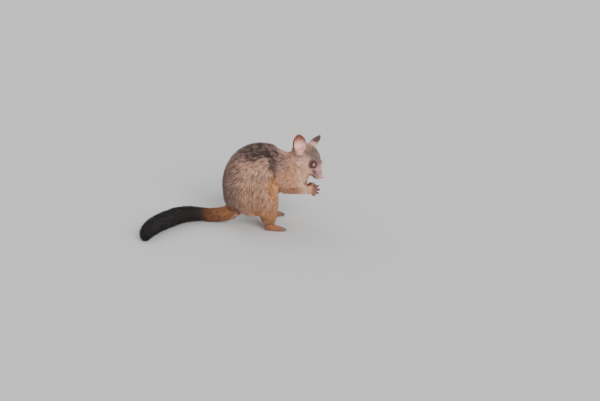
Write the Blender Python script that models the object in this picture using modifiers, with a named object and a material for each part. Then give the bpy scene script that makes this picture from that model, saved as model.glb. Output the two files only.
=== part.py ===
"""A common brushtail possum, life size, hunched on its hind feet with its forepaws held up before its muzzle.

Metres, +Z up. The possum faces +X, its right side is at -Y, and its soles and tail rest on z = 0. The body is
modelled as one furred mass and parted with thin cuts; the sizes include the coat, out to its tips.
"""

import math
import random

import bmesh
import bpy
import numpy as np
from mathutils import Matrix, Vector
from mathutils.bvhtree import BVHTree

MM = 0.001
GAP, CUT = 0.3 * MM, 0.45
UP, FORWARD = Vector((0, 0, 1)), Vector((1, 0, 0))
SIDES = (("right", -1), ("left", 1))

# The head: where its nose tip is, how it is turned, and its features in its own frame, in millimetres
NOSE_TIP = (193.5, -36, 138.5)
HEAD_YAW, HEAD_PITCH, HEAD_ROLL = math.radians(-31), math.radians(43), math.radians(-7)
HEAD_SCALE = 1.05
SKULL = [
    (-4, 0, -1.2, 5.4, 5.8),
    (-9, 0, -1.8, 8.6, 9.6),
    (-19, 0, -1.4, 11.4, 13.0),
    (-30, 0, 1.2, 14.4, 16.2),
    (-41, 0, 5.6, 19.5, 20.0),
    (-54, 0, 9.5, 26.0, 25.5),
    (-68, 0, 11.5, 30.0, 27.5),
    (-83, 0, 9.5, 29.5, 26.5),
    (-97, 0, 4, 25.5, 23),
    (-110, 0, -4, 20, 18),
]
BROW = ((-42, 13.5, 15.5), (14, 8, 8))
CHEEK = ((-57, 18, -2), (19, 13, 14))
WHISKER_PAD = ((-16, 6.4, -4.2), (12, 6.6, 7.4))
CHIN = ((-22, 0, -12.4), (14, 7.8, 6.0))
JAW = ((-43, 0, -11), (25, 13.5, 13))
EYE_CENTRE, EYE_RADIUS, EYE_LOOK = (-40.5, 16.6, 12.5), 8.1, (0.48, 0.84, 0.26)
LID_OVER, LID_OPENING = 1.5, (7.8, 6.0)
NOSE_BULB = ((-6.2, 0, 0.8), (6.8, 6.0, 5.3))
NOSE_PAD = ((-2.0, 0, 1.4), (5.4, 6.6, 5.4))
NOSTRIL = ((-0.4, 2.9, 1.4), (2.4, 1.2, 1.2))
MOUTH = [
    (-31, 14, -10.8),
    (-26, 12.5, -11.4),
    (-19, 10.5, -10.8),
    (-12, 8, -9.4),
    (-7.5, 4.5, -8.2),
    (-6.3, 0, -7.6),
]
EAR_RIGHT = ((-88, -29.5, 15), (-0.54, -0.46, 0.71))
EAR_LEFT = ((-85, 27, 17), (-0.16, 0.77, 0.60))
EAR_OPENS = (0.74, 0.64, 0.14)
EAR = [
    (-8, 0, 0, 7, 8),
    (3, 0, 0, 10, 10),
    (14, 0, -0.5, 15.5, 11),
    (26, 0, -2, 16.8, 9.5),
    (37, 0, -3.6, 13.2, 6.4),
    (45, 0, -4.6, 7, 3),
    (48.5, 0, -5, 1.6, 0.9),
]
EAR_WALL = 1.7

# Stations of the body, rump to nape: x, y, z, half width, half depth, in millimetres
SPINE = [
    (-60, 2, 48, 24, 22),
    (-44, 1, 76, 52, 44),
    (-20, 0, 112, 69, 71),
    (12, 0, 143, 74, 84),
    (45, 0, 152, 70, 79),
    (76, 0, 151, 61, 63),
    (102, 0, 150, 53, 54),
]
NECK = [
    (90, 0, 151, 52, 54),
    (118, 0, 161, 48, 46),
    (138, 0, 177, 43, 42),
    (152, -3, 192, 36, 34),
]
CHEST = ((122, 0, 137), (34, 38, 41))
BELLY = ((20, 0, 88), (56, 46, 54))

# The hind legs are alike; the forelegs meet before the muzzle, so each has its own path
HAUNCH, FLANK = ((0, -42, 108), (60, 44, 74)), ((19, -38, 142), (40, 35, 55))
SHANK = [
    (20, -46, 142, 14, 18),
    (30, -51, 120, 31, 34),
    (37, -58, 92, 32, 36),
    (40, -62, 64, 28, 32),
    (44, -63, 38, 19, 23),
    (47, -63, 12, 11.5, 14),
]
ANKLE_HEIGHT = 20
HEEL, FOOT_TURN = (35, -63, 0), math.radians(-6)
UPPER_ARM = [
    (98, -24, 180, 16, 18),
    (98, -32, 163, 25, 31),
    (93, -43, 140, 23, 31),
    (87, -48, 122, 19, 24),
    (82, -49, 109, 12, 13),
]
FOREARM_RIGHT = [
    (80, -50, 118, 18, 17),
    (107, -48, 115.5, 17, 18),
    (129, -43, 111.5, 14.5, 16),
    (146, -38, 107, 11.5, 13),
    (168, -35, 104, 9, 9.8),
]
FOREARM_LEFT = [
    (80, 50, 118, 18, 17),
    (107, 43, 115.5, 17, 18),
    (129, 28, 111.5, 14.5, 16),
    (145, 15, 104, 11.5, 13),
    (164, 4, 100, 9, 9.8),
]
# Each hand: its wrist, the way it points and the way its back faces
HAND_RIGHT = ((153, -36.6, 105), (0.95, 0.10, 0.02), (-0.12, -0.95, 0.10))
HAND_LEFT = ((151, 11, 101), (0.86, -0.36, -0.02), (-0.30, 0.92, 0.12))

# Digits: where each starts on the paw, its splay, its lift, how fast it curls, its bones and its widths
FINGERS = [
    ((10, -7.5, -1.5), -42, -14, 34, (9, 6.5), (3.6, 3.3, 2.6)),
    ((14.5, -5, 0.5), -20, 0, 38, (9.5, 7), (3.6, 3.3, 2.6)),
    ((16, 0, 1.0), -1, 2, 40, (10, 7.5), (3.6, 3.3, 2.6)),
    ((14.5, 5, 0.5), 18, 0, 38, (9.5, 7), (3.6, 3.3, 2.6)),
    ((9, 8, -2.0), 44, -18, 32, (8.5, 6.5), (3.7, 3.4, 2.7)),
]
TOES = [
    ((24, 7, 5.2), 62, -8, 4, (8, 7), (5.0, 4.8, 3.6)),
    ((31, 5.8, 5.4), 13, 2, 9, (8, 7), (4.2, 3.9, 2.9)),
    ((32.5, 1.8, 5.4), 6, 2, 9, (9, 7), (4.2, 3.9, 2.9)),
    ((33, -3.2, 5.6), -3, 3, 10, (10, 8), (5.0, 4.5, 3.4)),
    ((30, -8, 5.4), -13, 3, 10, (9, 8), (4.9, 4.4, 3.3)),
]
CLAW_FINGER, CLAW_TOE = (7.8, 1.6), (9.2, 1.8)
# Along a claw: how far, the drop, the share of its thickness, and which end it is
CLAW_RUN = [(0, 0, 1, -1), (0.35, 0.02, 0.92, 0), (0.7, 0.16, 0.6, 0), (1, 0.42, 0.16, 1)]
PALM = [
    (-8, 0, 0, 9.2, 10),
    (0, 0, 0, 9.2, 9.8),
    (7, 0, -0.5, 9.8, 7.6),
    (14, 0, -1.5, 9.6, 5.8),
    (20, 0, -1, 5.5, 4),
]
PALM_PAD = ((8, -6, -3.5), (7, 4.6, 4.4))
SOLE = [
    (0, 0, 6, 5.5, 6),
    (5, 0, 7, 8.5, 8),
    (14, 0.5, 8.5, 10.5, 10),
    (25, 0.5, 7.5, 12, 8.5),
    (34, -0.5, 6, 12, 6.6),
    (40, -0.5, 5, 8, 4.6),
]
ANKLE = [(13, 0, 6, 11, 12), (12.5, 0, 20, 11.5, 13.5), (12, 0, 30, 12, 14.5)]

# The tail lies on the ground and bends round to the right. Its brush starts with the fourth station
TAIL = [
    (-36, 2, 52, 26),
    (-70, 8, 30, 22.5),
    (-106, 18, 21.5, 21.5),
    (-142, 20, 23, 23.5),
    (-188, 6, 27, 28),
    (-229, -31, 27, 28),
    (-260, -74, 25, 27),
    (-280, -117, 20, 22),
    (-286, -150, 9, 10),
]
TAIL_BODY = 4
TAIL_ROOT = ((-62, 5, 32), (-0.94, 0.13, -0.3))
BRUSH_START, TIP_START = ((-138, 19, 23), (-0.98, -0.16, 0)), ((-215, -18, 26), (-0.75, -0.66, 0))
CORE_SHARE, RING_STEP, LOCKS_ROUND, LOCK_LENGTH, LOCK_WIDTH = 0.86, 25, 7, 46, 9.5
# Along a lock: how far, how far out from the tail's centre, its share of the lift, and of its width
LOCK_RUN = [(0, 0.52, 0, 0.8), (0.3, 0.86, 0, 1), (0.68, 0.97, 0.6, 0.72), (1, 1, 1, 0.1)]

UNDER_FLOOR, SHARP = 60, math.radians(40)
EVEN_TRIANGLES, BODY_TRIANGLES = 9500, 4600
HEAD_TRIANGLES, NOSE_TRIANGLES, EAR_TRIANGLES, PAW_TRIANGLES = 2700, 160, 460, 400
SPARE = {"torso": 0.72, "neck": 0.72, "hindleg_right": 0.84, "hindleg_left": 0.84, "tail_base": 0.84}
COATS = {
    "torso": (0.19, 0.145, 0.12),
    "neck": (0.36, 0.26, 0.2),
    "head": (0.36, 0.26, 0.22),
    "nose_pad": (0.55, 0.3, 0.28),
    "ear": (0.5, 0.3, 0.26),
    "eye": (0.03, 0.014, 0.01),
    "foreleg": (0.3, 0.19, 0.14),
    "hand": (0.32, 0.2, 0.17),
    "hindleg": (0.33, 0.2, 0.13),
    "foot": (0.32, 0.2, 0.15),
    "tail_base": (0.25, 0.11, 0.05),
    "tail_brush": (0.025, 0.018, 0.014),
    "tail_tip": (0.02, 0.014, 0.012),
    "claw": (0.04, 0.03, 0.028),
}


def clear_scene():
    for old in list(bpy.data.objects):
        bpy.data.objects.remove(old)


def mm(*values):
    """A point or a vector given in millimetres."""
    return Vector(values) * MM


def head_frame():
    """The head's own frame: x ahead along the muzzle, y to its left, z up, and the nose tip at the origin."""
    turn = Matrix.Rotation(HEAD_YAW, 4, "Z") @ Matrix.Rotation(HEAD_PITCH, 4, "Y")
    turn = turn @ Matrix.Rotation(HEAD_ROLL, 4, "X") @ Matrix.Scale(HEAD_SCALE, 4)
    return Matrix.Translation(mm(*NOSE_TIP)) @ turn


def facing(place, ahead, back):
    """A frame at a place, its x axis along ahead and its z axis as near to back as it can be."""
    x = Vector(ahead).normalized()
    y = Vector(back).cross(x).normalized()
    frame = Matrix((x, y, x.cross(y))).transposed().to_4x4()
    return Matrix.Translation(place) @ frame


def smooth_run(stations, steps):
    """The stations read along one smooth curve through them, with this many steps from each to the next."""
    rows = np.array(stations, float)
    rows = np.vstack([2 * rows[0] - rows[1], rows, 2 * rows[-1] - rows[-2]])
    run = []
    for a, b, c, d in zip(rows, rows[1:], rows[2:], rows[3:]):
        for t in np.arange(steps) / steps:
            cubic = 2 * a - 5 * b + 4 * c - d + t * (3 * (b - c) + d - a)
            run.append(b + 0.5 * t * (c - a + t * cubic))
    return np.vstack([run, rows[-2]])


def add_loft(bm, stations, sides=24, steps=3, lean=UP, frame=None):
    """Adds a closed body through sections of half width and half height, the height leaning towards lean."""
    frame = frame or Matrix()
    run = smooth_run(stations, steps) * MM
    rings = []
    for i, row in enumerate(run):
        along = Vector(run[min(i + 1, len(run) - 1)][:3] - run[max(i - 1, 0)][:3]).normalized()
        tall = (lean - along * lean.dot(along)).normalized()
        place = Matrix((tall.cross(along), tall, along)).transposed().to_4x4()
        place = frame @ Matrix.Translation(row[:3]) @ place @ Matrix.Diagonal((row[3], row[-1], 1, 1))
        ring = bmesh.ops.create_circle(bm, segments=sides, radius=1, matrix=place)["verts"]
        rings.append((ring, list({e for v in ring for e in v.link_edges})))
    for (_, lower), (_, upper) in zip(rings, rings[1:]):
        bmesh.ops.bridge_loops(bm, edges=lower + upper)
    for ring, _ in (rings[0], rings[-1]):
        bmesh.ops.contextual_create(bm, geom=ring)


def add_ball(bm, centre, radii, frame=None, segments=24, rings=16):
    place = (frame or Matrix()) @ Matrix.Translation(mm(*centre)) @ Matrix.Diagonal((*mm(*radii), 1))
    bmesh.ops.create_uvsphere(bm, u_segments=segments, v_segments=rings, radius=1, matrix=place)


def add_box(bm, low, high, frame=None):
    low, high = mm(*low), mm(*high)
    place = Matrix.Translation((low + high) / 2) @ Matrix.Diagonal((*(high - low), 1))
    bmesh.ops.create_cube(bm, size=1, matrix=(frame or Matrix()) @ place)


def new_object(name, bm):
    bmesh.ops.recalc_face_normals(bm, faces=bm.faces)
    mesh = bpy.data.meshes.new(name)
    bm.to_mesh(mesh)
    bm.free()
    made = bpy.data.objects.new(name, mesh)
    bpy.context.scene.collection.objects.link(made)
    return made


def remove(made):
    bpy.data.objects.remove(made)


def settle(made):
    """Makes the object's modifiers part of its mesh."""
    graph = bpy.context.evaluated_depsgraph_get()
    mesh = bpy.data.meshes.new_from_object(made.evaluated_get(graph))
    made.modifiers.clear()
    made.data = mesh


def copy_of(made, name):
    twin = bpy.data.objects.new(name, made.data.copy())
    bpy.context.scene.collection.objects.link(twin)
    return twin


def fuse(made, voxel):
    """Melts overlapping closed shells into one skin."""
    melt = made.modifiers.new("melt", "REMESH")
    melt.mode = "VOXEL"
    melt.voxel_size = voxel * MM
    settle(made)


def soften(made, rounds, share=0.5, creases_only=False):
    """Draws each point towards its neighbours. With creases_only it fills folds and leaves what stands out."""
    mesh = made.data
    points = np.empty(len(mesh.vertices) * 3)
    edges = np.empty(len(mesh.edges) * 2, int)
    mesh.edges.foreach_get("vertices", edges)
    a, b = edges.reshape(-1, 2).T
    count = np.bincount(np.concatenate([a, b]), minlength=len(mesh.vertices))[:, None]
    normals = np.empty(len(points))
    for _ in range(rounds):
        mesh.vertices.foreach_get("co", points)
        mesh.vertices.foreach_get("normal", normals)
        place, normal = points.reshape(-1, 3), normals.reshape(-1, 3)
        total = np.zeros_like(place)
        np.add.at(total, a, place[b])
        np.add.at(total, b, place[a])
        pull = total / count - place
        if creases_only:
            pull = normal * np.clip((pull * normal).sum(1), 0, None)[:, None]
        mesh.vertices.foreach_set("co", (place + share * pull).ravel())
        mesh.update()


def thin_out(made, triangles, group=""):
    """Leaves about this many triangles, taking them where the group's weights are high."""
    made.data.calc_loop_triangles()
    fewer = made.modifiers.new("fewer", "DECIMATE")
    fewer.vertex_group = group
    fewer.ratio = triangles / len(made.data.loop_triangles)
    settle(made)


def combine(made, others, operation):
    """Cuts, joins or intersects the object with closed shells, which are used up."""
    group = bpy.data.collections.new("others")
    bpy.context.scene.collection.children.link(group)
    for other in others:
        group.objects.link(other)
    cut = made.modifiers.new(operation.lower(), "BOOLEAN")
    cut.operation = operation
    cut.operand_type = "COLLECTION"
    cut.collection = group
    settle(made)
    for other in others:
        remove(other)
    bpy.data.collections.remove(group)
    keep_largest(made)


def keep_largest(made):
    """Drops loose scraps and sealed hollows, keeping the surface that spans most."""
    bm = bmesh.new()
    bm.from_mesh(made.data)
    bmesh.ops.triangulate(bm, faces=bm.faces)
    unseen, shells = set(bm.verts), []
    while unseen:
        edge_of_shell = [unseen.pop()]
        shell = set(edge_of_shell)
        while edge_of_shell:
            near = {e.other_vert(v) for v in edge_of_shell for e in v.link_edges} - shell
            shell |= near
            edge_of_shell = list(near)
        unseen -= shell
        shells.append(shell)
    shells.sort(key=len)
    bmesh.ops.delete(bm, geom=[v for shell in shells[:-1] for v in shell], context="VERTS")
    bm.to_mesh(made.data)
    bm.free()


def merge_flat(made):
    """Merges the slivers that cuts leave on faces that are flat."""
    bm = bmesh.new()
    bm.from_mesh(made.data)
    bmesh.ops.dissolve_limit(bm, angle_limit=math.radians(1.5), verts=bm.verts, edges=bm.edges)
    bmesh.ops.triangulate(bm, faces=bm.faces)
    bm.to_mesh(made.data)
    bm.free()


def shell_object(add, *arguments, **settings):
    """One closed helper shape as an object of its own."""
    bm = bmesh.new()
    add(bm, *arguments, **settings)
    return new_object("helper", bm)


def mirrored(stations):
    return [(x, -y, *rest) for x, y, *rest in stations]


def body_mass():
    """Torso, neck, skull and limbs as one furred mass, the tail's first length with them."""
    bm = bmesh.new()
    add_loft(bm, SPINE, 40, 4)
    add_loft(bm, NECK, 36, 4)
    add_ball(bm, *CHEST)
    add_ball(bm, *BELLY)
    for side in (list, mirrored):
        add_loft(bm, side(SHANK), 24, 3, lean=FORWARD)
        add_loft(bm, side(UPPER_ARM), 20, 3, lean=FORWARD)
        for centre, radii in (HAUNCH, FLANK):
            add_ball(bm, *side([centre]), radii, segments=32, rings=24)
    for path in (FOREARM_RIGHT, FOREARM_LEFT):
        add_loft(bm, path, 20, 3)
    add_loft(bm, TAIL[: TAIL_BODY + 1], 24, 4)
    add_skull(bm)
    return new_object("mass", bm)


def add_skull(bm):
    frame = head_frame()
    add_loft(bm, SKULL, 28, 4, frame=frame)
    for centre, radii in (CHIN, JAW):
        add_ball(bm, centre, radii, frame=frame, segments=18, rings=12)
    for centre, radii in (BROW, CHEEK, WHISKER_PAD):
        for (place,) in ([centre], mirrored([centre])):
            add_ball(bm, place, radii, frame=frame, segments=18, rings=12)


def part_off(rest, name, *cell):
    """Takes the piece inside a cell away from the rest, leaving a thin cut between them."""
    piece = copy_of(rest, name)
    combine(piece, [cell_object(cell, 0)], "INTERSECT")
    combine(rest, [cell_object(cell, CUT)], "DIFFERENCE")
    return piece


def cell_object(cell, grow):
    first, *more = [shell_object(add, grow) for add in cell]
    if more:
        combine(first, more, "UNION")
    return first


def box_cell(low, high, frame=None):
    def add(bm, grow):
        add_box(bm, [a - grow for a in low], [a + grow for a in high], frame)

    return add


def ball_cell(centre, radii, frame=None):
    def add(bm, grow):
        add_ball(bm, centre, [r + grow for r in radii], frame, segments=14, rings=9)

    return add


def thin_body(mass):
    """Thins the mass evenly, then once more everywhere but at the head."""
    thin_out(mass, EVEN_TRIANGLES)
    group = mass.vertex_groups.new(name="plain")
    head = head_frame() @ mm(-40, 0, 5)
    for v in mass.data.vertices:
        group.add([v.index], min(max(((v.co - head).length / MM - 44) / 16, 0.01), 1), "REPLACE")
    thin_out(mass, BODY_TRIANGLES, "plain")
    mass.vertex_groups.clear()


def body_nodes():
    """The furred mass parted into torso, neck, head, limbs and the tail's base."""
    mass = body_mass()
    fuse(mass, 2.0)
    soften(mass, 24, creases_only=True)
    soften(mass, 3)
    thin_body(mass)
    nodes = {}
    for place, ahead, back in (HAND_RIGHT, HAND_LEFT):
        wrist = facing(mm(*place), ahead, back)
        remove(part_off(mass, "past_wrist", box_cell((0, -16, -16), (40, 16, 16), wrist)))
    for y in (HEEL[1], -HEEL[1]):
        under = box_cell((0, y - 40, -UNDER_FLOOR), (110, y + 40, ANKLE_HEIGHT))
        remove(part_off(mass, "under_ankle", under))
    for side, sign in SIDES:
        shoulder = ball_cell((108, 64 * sign, 134), (62, 33, 60))
        nodes["foreleg_" + side] = part_off(mass, "foreleg_" + side, shoulder)
    nodes["head"] = part_off(mass, "head", ball_cell((-46, 0, 4), (58, 48, 50), head_frame()))
    nape = facing(mm(100, 0, 162), (0.9, 0, 0.42), UP)
    nodes["neck"] = part_off(mass, "neck", box_cell((0, -90, -90), (150, 90, 90), nape))
    for side, sign in SIDES:
        haunch = ball_cell((2, 60 * sign, 104), (66, 40, 82))
        low, high = sorted((28 * sign, 120 * sign))
        shank = box_cell((14, low, -10), (110, high, 116))
        nodes["hindleg_" + side] = part_off(mass, "hindleg_" + side, haunch, shank)
    nodes["tail_base"] = part_off(mass, "tail_base", past(*TAIL_ROOT))
    nodes["torso"] = mass
    remove(part_off(nodes["tail_base"], "brush", past(*BRUSH_START)))
    for name, share in SPARE.items():
        merge_flat(nodes[name])
        nodes[name].data.calc_loop_triangles()
        thin_out(nodes[name], share * len(nodes[name].data.loop_triangles))
    cut_at_floor(nodes["tail_base"])
    return nodes


def past(place, ahead):
    """The cell of all that lies past a plane across the tail."""
    return box_cell((0, -120, -80), (200, 160, 80), facing(mm(*place), ahead, UP))


def cut_at_floor(made):
    floor = shell_object(add_box, (-600, -600, -UNDER_FLOOR), (600, 600, 0))
    combine(made, [floor], "DIFFERENCE")


def digit(start, splay, lift, curl, bones, widths):
    """Sections of one digit in its paw's frame, angles in degrees, and the frame at its tip."""
    place, splay, lift, curl = Vector(start), *map(math.radians, (splay, lift, curl))
    rows = [(*(place - Vector((6, 0, 0))), widths[0] * 0.8), (*place, widths[0])]
    for bone, width in zip(bones, widths[1:]):
        level = math.cos(lift)
        ahead = Vector((level * math.cos(splay), level * math.sin(splay), math.sin(lift)))
        place = place + ahead * bone
        rows.append((*place, width))
        lift -= curl
    rows.append((*(place + ahead * widths[-1] * 0.75), widths[-1] * 0.45))
    return rows, facing(place * MM, ahead, UP)


def add_claw(bm, frame, size, grow=0):
    """A claw that comes out of a digit's tip, hooked downwards."""
    length, thick = size
    rows = []
    for along, drop, share, end in CLAW_RUN:
        width = thick * share + grow
        rows.append((0.6 + length * along + grow * end, 0, 0.6 - length * drop, width * 0.8, width))
    add_loft(bm, rows, 6, 1, frame=frame)


def paw_nodes(name, frame, digits, claw, body, level=None):
    """A paw and its claws, cut at x = 0 of its frame or, where a level is given, there and at the floor."""
    bm = bmesh.new()
    body(bm, frame)
    tips = []
    for row in digits:
        sections, tip = digit(*row)
        add_loft(bm, sections, 12, 3, lean=Vector((0, 1, 0)), frame=frame)
        tips.append(frame @ tip)
    paw = new_object(name, bm)
    fuse(paw, 0.8)
    soften(paw, 5, creases_only=True)
    soften(paw, 1)
    thin_out(paw, PAW_TRIANGLES)
    if level is None:
        ends = [shell_object(add_box, (-40, -30, -30), (0, 30, 30), frame)]
    else:
        above = shell_object(add_box, (-90, -90, level), (120, 90, 90), frame)
        ends = [above, shell_object(add_box, (-90, -90, -40), (120, 90, 0), frame)]
        tips = tips[1:]
    combine(paw, ends, "DIFFERENCE")
    combine(paw, [shell_object(add_claw, tip, claw, GAP / MM) for tip in tips], "DIFFERENCE")
    nodes = {name: paw}
    for i, tip in enumerate(tips):
        nodes[f"claw_{name}_{i + 1}"] = shell_object(add_claw, tip, claw)
    return nodes


def add_palm(bm, frame):
    add_loft(bm, PALM, 18, 3, frame=frame)
    for (place,) in ([PALM_PAD[0]], mirrored([PALM_PAD[0]])):
        add_ball(bm, place, PALM_PAD[1], frame, 14, 10)


def add_foot(bm, frame):
    add_loft(bm, SOLE, 18, 3, frame=frame)
    add_loft(bm, ANKLE, 18, 3, lean=FORWARD, frame=frame)


def hands_and_feet():
    nodes = {}
    for side, (place, ahead, back) in (("right", HAND_RIGHT), ("left", HAND_LEFT)):
        fingers = FINGERS if side == "right" else [mirrored_digit(row) for row in FINGERS]
        frame = facing(mm(*place), ahead, back)
        nodes.update(paw_nodes("hand_" + side, frame, fingers, CLAW_FINGER, add_palm))
    for side, sign in SIDES:
        toes = TOES if side == "right" else [mirrored_digit(row) for row in TOES]
        frame = Matrix.Translation(mm(HEEL[0], -HEEL[1] * sign, 0)) @ Matrix.Rotation(-FOOT_TURN * sign, 4, "Z")
        level = ANKLE_HEIGHT - GAP / MM
        nodes.update(paw_nodes("foot_" + side, frame, toes, CLAW_TOE, add_foot, level))
    return nodes


def mirrored_digit(row):
    (x, y, z), splay, *rest = row
    return ((x, -y, z), -splay, *rest)


def ear_nodes(*under):
    """Both ears, each a tapering cup, set on the head and the nape."""
    skins = [copy_of(made, "skin") for made in under]
    for skin in skins:
        swell(skin, 1.3 * GAP)
    nodes = {}
    for (side, sign), (root, lean) in zip(SIDES, (EAR_RIGHT, EAR_LEFT)):
        x, y, z = EAR_OPENS
        frame = head_frame() @ facing(mm(*root), lean, (x, y * sign, z))
        ear = shell_object(add_loft, EAR, 16, 2, frame=frame)
        combine(ear, [shell_object(add_loft, ear_hollow(), 16, 2, frame=frame)], "DIFFERENCE")
        thin_out(ear, EAR_TRIANGLES)
        combine(ear, [copy_of(skin, "skin") for skin in skins], "DIFFERENCE")
        nodes["ear_" + side] = ear
    for skin in skins:
        remove(skin)
    return nodes


def ear_hollow():
    """Sections of the hollow of the ear, which comes out through its front."""
    rows = [(x, y, z + EAR_WALL + d * 0.3, w - EAR_WALL * 0.75, d * 1.3) for x, y, z, w, d in EAR[2:-1]]
    x, y, z, w, d = rows[0]
    rows.insert(0, (x - 11, y, z + 2, w * 0.25, d * 0.3))
    x, y, z, w, d = rows[-1]
    rows.append((x + 2, y, z, w * 0.3, d * 0.5))
    return rows


def swell(made, distance):
    """Moves the surface outwards by this much."""
    mesh = made.data
    for v, normal in [(v, v.normal.copy()) for v in mesh.vertices]:
        v.co += normal * distance


def add_cylinder(bm, frame, radius, depth):
    """A cylinder along the frame's x axis."""
    spin = Matrix.Rotation(math.pi / 2, 4, "Y")
    radius, depth = radius * MM, depth * MM
    bmesh.ops.create_cone(
        bm, cap_ends=True, segments=44, radius1=radius, radius2=radius, depth=depth, matrix=frame @ spin
    )


def almond(frame):
    """The opening between two lids, where two wide cylinders cross."""
    half, tall = LID_OPENING
    radius = (half * half + tall * tall) / (2 * tall)
    below, above = [
        shell_object(add_cylinder, frame @ Matrix.Translation(mm(10, 0, z)), radius, 20)
        for z in (tall - radius, radius - tall)
    ]
    combine(below, [above], "INTERSECT")
    return below


def eye_nodes(head):
    """Each eye is a ball behind two lids that part in an almond."""
    nodes, lids, sockets = {}, [], []
    x, y, z = EYE_CENTRE
    ahead, aside, up = EYE_LOOK
    for side, sign in SIDES:
        place = facing(mm(x, y * sign, z), (ahead, aside * sign, up), (0.1, 0, 1))
        frame = head_frame() @ place
        lids.append(shell_object(add_ball, (-0.8, 0, 0), (EYE_RADIUS + LID_OVER,) * 3, frame, 20, 12))
        sockets.append(shell_object(add_ball, (0, 0, 0), (EYE_RADIUS + 2 * GAP / MM,) * 3, frame, 14, 10))
        sockets.append(almond(frame))
        nodes["eye_" + side] = shell_object(add_ball, (0, 0, 0), (EYE_RADIUS,) * 3, frame, 16, 10)
    combine(head, lids, "UNION")
    combine(head, sockets, "DIFFERENCE")
    return nodes


def add_rope(bm, points, radius):
    """A round rope along world points."""
    add_loft(bm, [(*(p / MM), radius) for p in points], 6, 1, lean=Vector((0.3, 0.2, 0.93)))


def mouth_line(head, raise_by=0.0, steps=1):
    """The line of the mouth from corner to corner, laid on the head's surface."""
    frame = head_frame()
    tree = BVHTree.FromObject(head, bpy.context.evaluated_depsgraph_get())
    run = smooth_run(MOUTH, steps)
    path = [(x, -y, z) for x, y, z in run[:-1]] + [tuple(p) for p in run[::-1]]
    found = []
    for x, y, z in path:
        place = frame @ mm(x, y, z + raise_by)
        inside = frame @ mm(x - 4, 0, z + raise_by)
        found.append(tree.ray_cast(place + (place - inside).normalized() * 0.02, inside - place)[0])
    return found


def face_features(head):
    """Lips, the line between them, the nose pad and its nostrils."""
    ropes = [(mouth_line(head, 1.7), 1.3), (mouth_line(head, -1.7), 1.2)]
    line = mouth_line(head, steps=2)
    combine(head, [shell_object(add_rope, path, radius) for path, radius in ropes], "UNION")
    combine(head, [shell_object(add_rope, line, 0.9)], "DIFFERENCE")
    frame = head_frame()
    combine(head, [shell_object(add_ball, *NOSE_BULB, frame, 18, 12)], "UNION")
    thin_out(head, HEAD_TRIANGLES)
    pad = part_off(head, "nose_pad", ball_cell(*NOSE_PAD, frame))
    thin_out(pad, NOSE_TRIANGLES)
    (x, y, z), radii = NOSTRIL
    nostrils = [shell_object(add_ball, (x, y * sign, z), radii, frame, 10, 6) for _, sign in SIDES]
    combine(pad, nostrils, "DIFFERENCE")
    return pad


def tail_run():
    """The tail's centre line and radius read finely, and the length along it."""
    run = smooth_run(TAIL, 8)
    steps = np.linalg.norm(np.diff(run[:, :3], axis=0), axis=1)
    return np.concatenate([[0], np.cumsum(steps)]), run


def tail_place(tail, at, angle, out):
    """A point at this length along the tail, turned about it from its top, at this share of its radius."""
    length, run = tail
    x, y, z, radius = (np.interp(at, length, run[:, k]) for k in range(4))
    before = Vector([np.interp(at - 6, length, run[:, k]) for k in range(3)])
    ahead = (Vector((x, y, z)) - before).normalized()
    side = UP.cross(ahead).normalized()
    around = side * math.sin(angle) + ahead.cross(side) * math.cos(angle)
    past_end = max(at - length[-1], 0)
    return Vector((x, y, z)) + ahead * past_end + around * radius * out, around


def add_lock(bm, tail, root, angle, length, width, lift, sway):
    """One flat lock of the brush, rooted in the core, that bends out to its tip along the tail."""
    stations = []
    for share, out, rise, wide in LOCK_RUN:
        out += lift * rise
        place, around = tail_place(tail, root + share * length, angle + sway * share * share, out)
        place.z = max(place.z, width * 0.16 * wide + 0.2)
        stations.append((*place, width * wide, max(width * 0.3 * wide, 0.35)))
    add_loft(bm, stations, 4, 1, lean=around)


def brush_locks(tail):
    """Rings of locks from before the brush's start to its tip, each ring turned against the last."""
    chance = random.Random(7)
    length = tail[0]
    start, end = length[8 * TAIL_BODY - 8] - 12, length[-1] - 10
    locks = []
    for k, ring in enumerate(np.arange(start, end, RING_STEP)):
        at_tip = ring > end - 35
        count = LOCKS_ROUND - at_tip
        for i in range(count):
            angle = (i + 0.5 * (k % 2)) * math.tau / count + chance.uniform(-0.12, 0.12)
            long = LOCK_LENGTH * chance.uniform(0.85, 1.2)
            wide = LOCK_WIDTH * chance.uniform(0.85, 1.15) * (0.75 if at_tip else 1)
            lift = chance.uniform(-0.02, 0.1) * min(1 + math.cos(angle), 1)
            root, sway = ring + chance.uniform(-4, 4), chance.uniform(-0.15, 0.15)
            locks.append(shell_object(add_lock, tail, root, angle, long, wide, lift, sway))
    return locks


def brush_nodes():
    """The brush in two lengths: a core under overlapping locks, flat where it lies on the floor."""
    core = [(x, y, z - r * (1 - CORE_SHARE), r * CORE_SHARE) for x, y, z, r in TAIL[2:-1]]
    x, y, z, r = TAIL[-1]
    brush = shell_object(add_loft, [*core, (x, y, z - 2, r * 0.4)], 14, 2)
    combine(brush, brush_locks(tail_run()), "UNION")
    cut_at_floor(brush)
    place, ahead = BRUSH_START
    before = box_cell((-120, -80, -80), (0, 80, 80), facing(mm(*place), ahead, UP))
    remove(part_off(brush, "before_brush", before))
    tip = part_off(brush, "tail_tip", past(*TIP_START))
    return {"tail_brush": brush, "tail_tip": tip}


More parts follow.
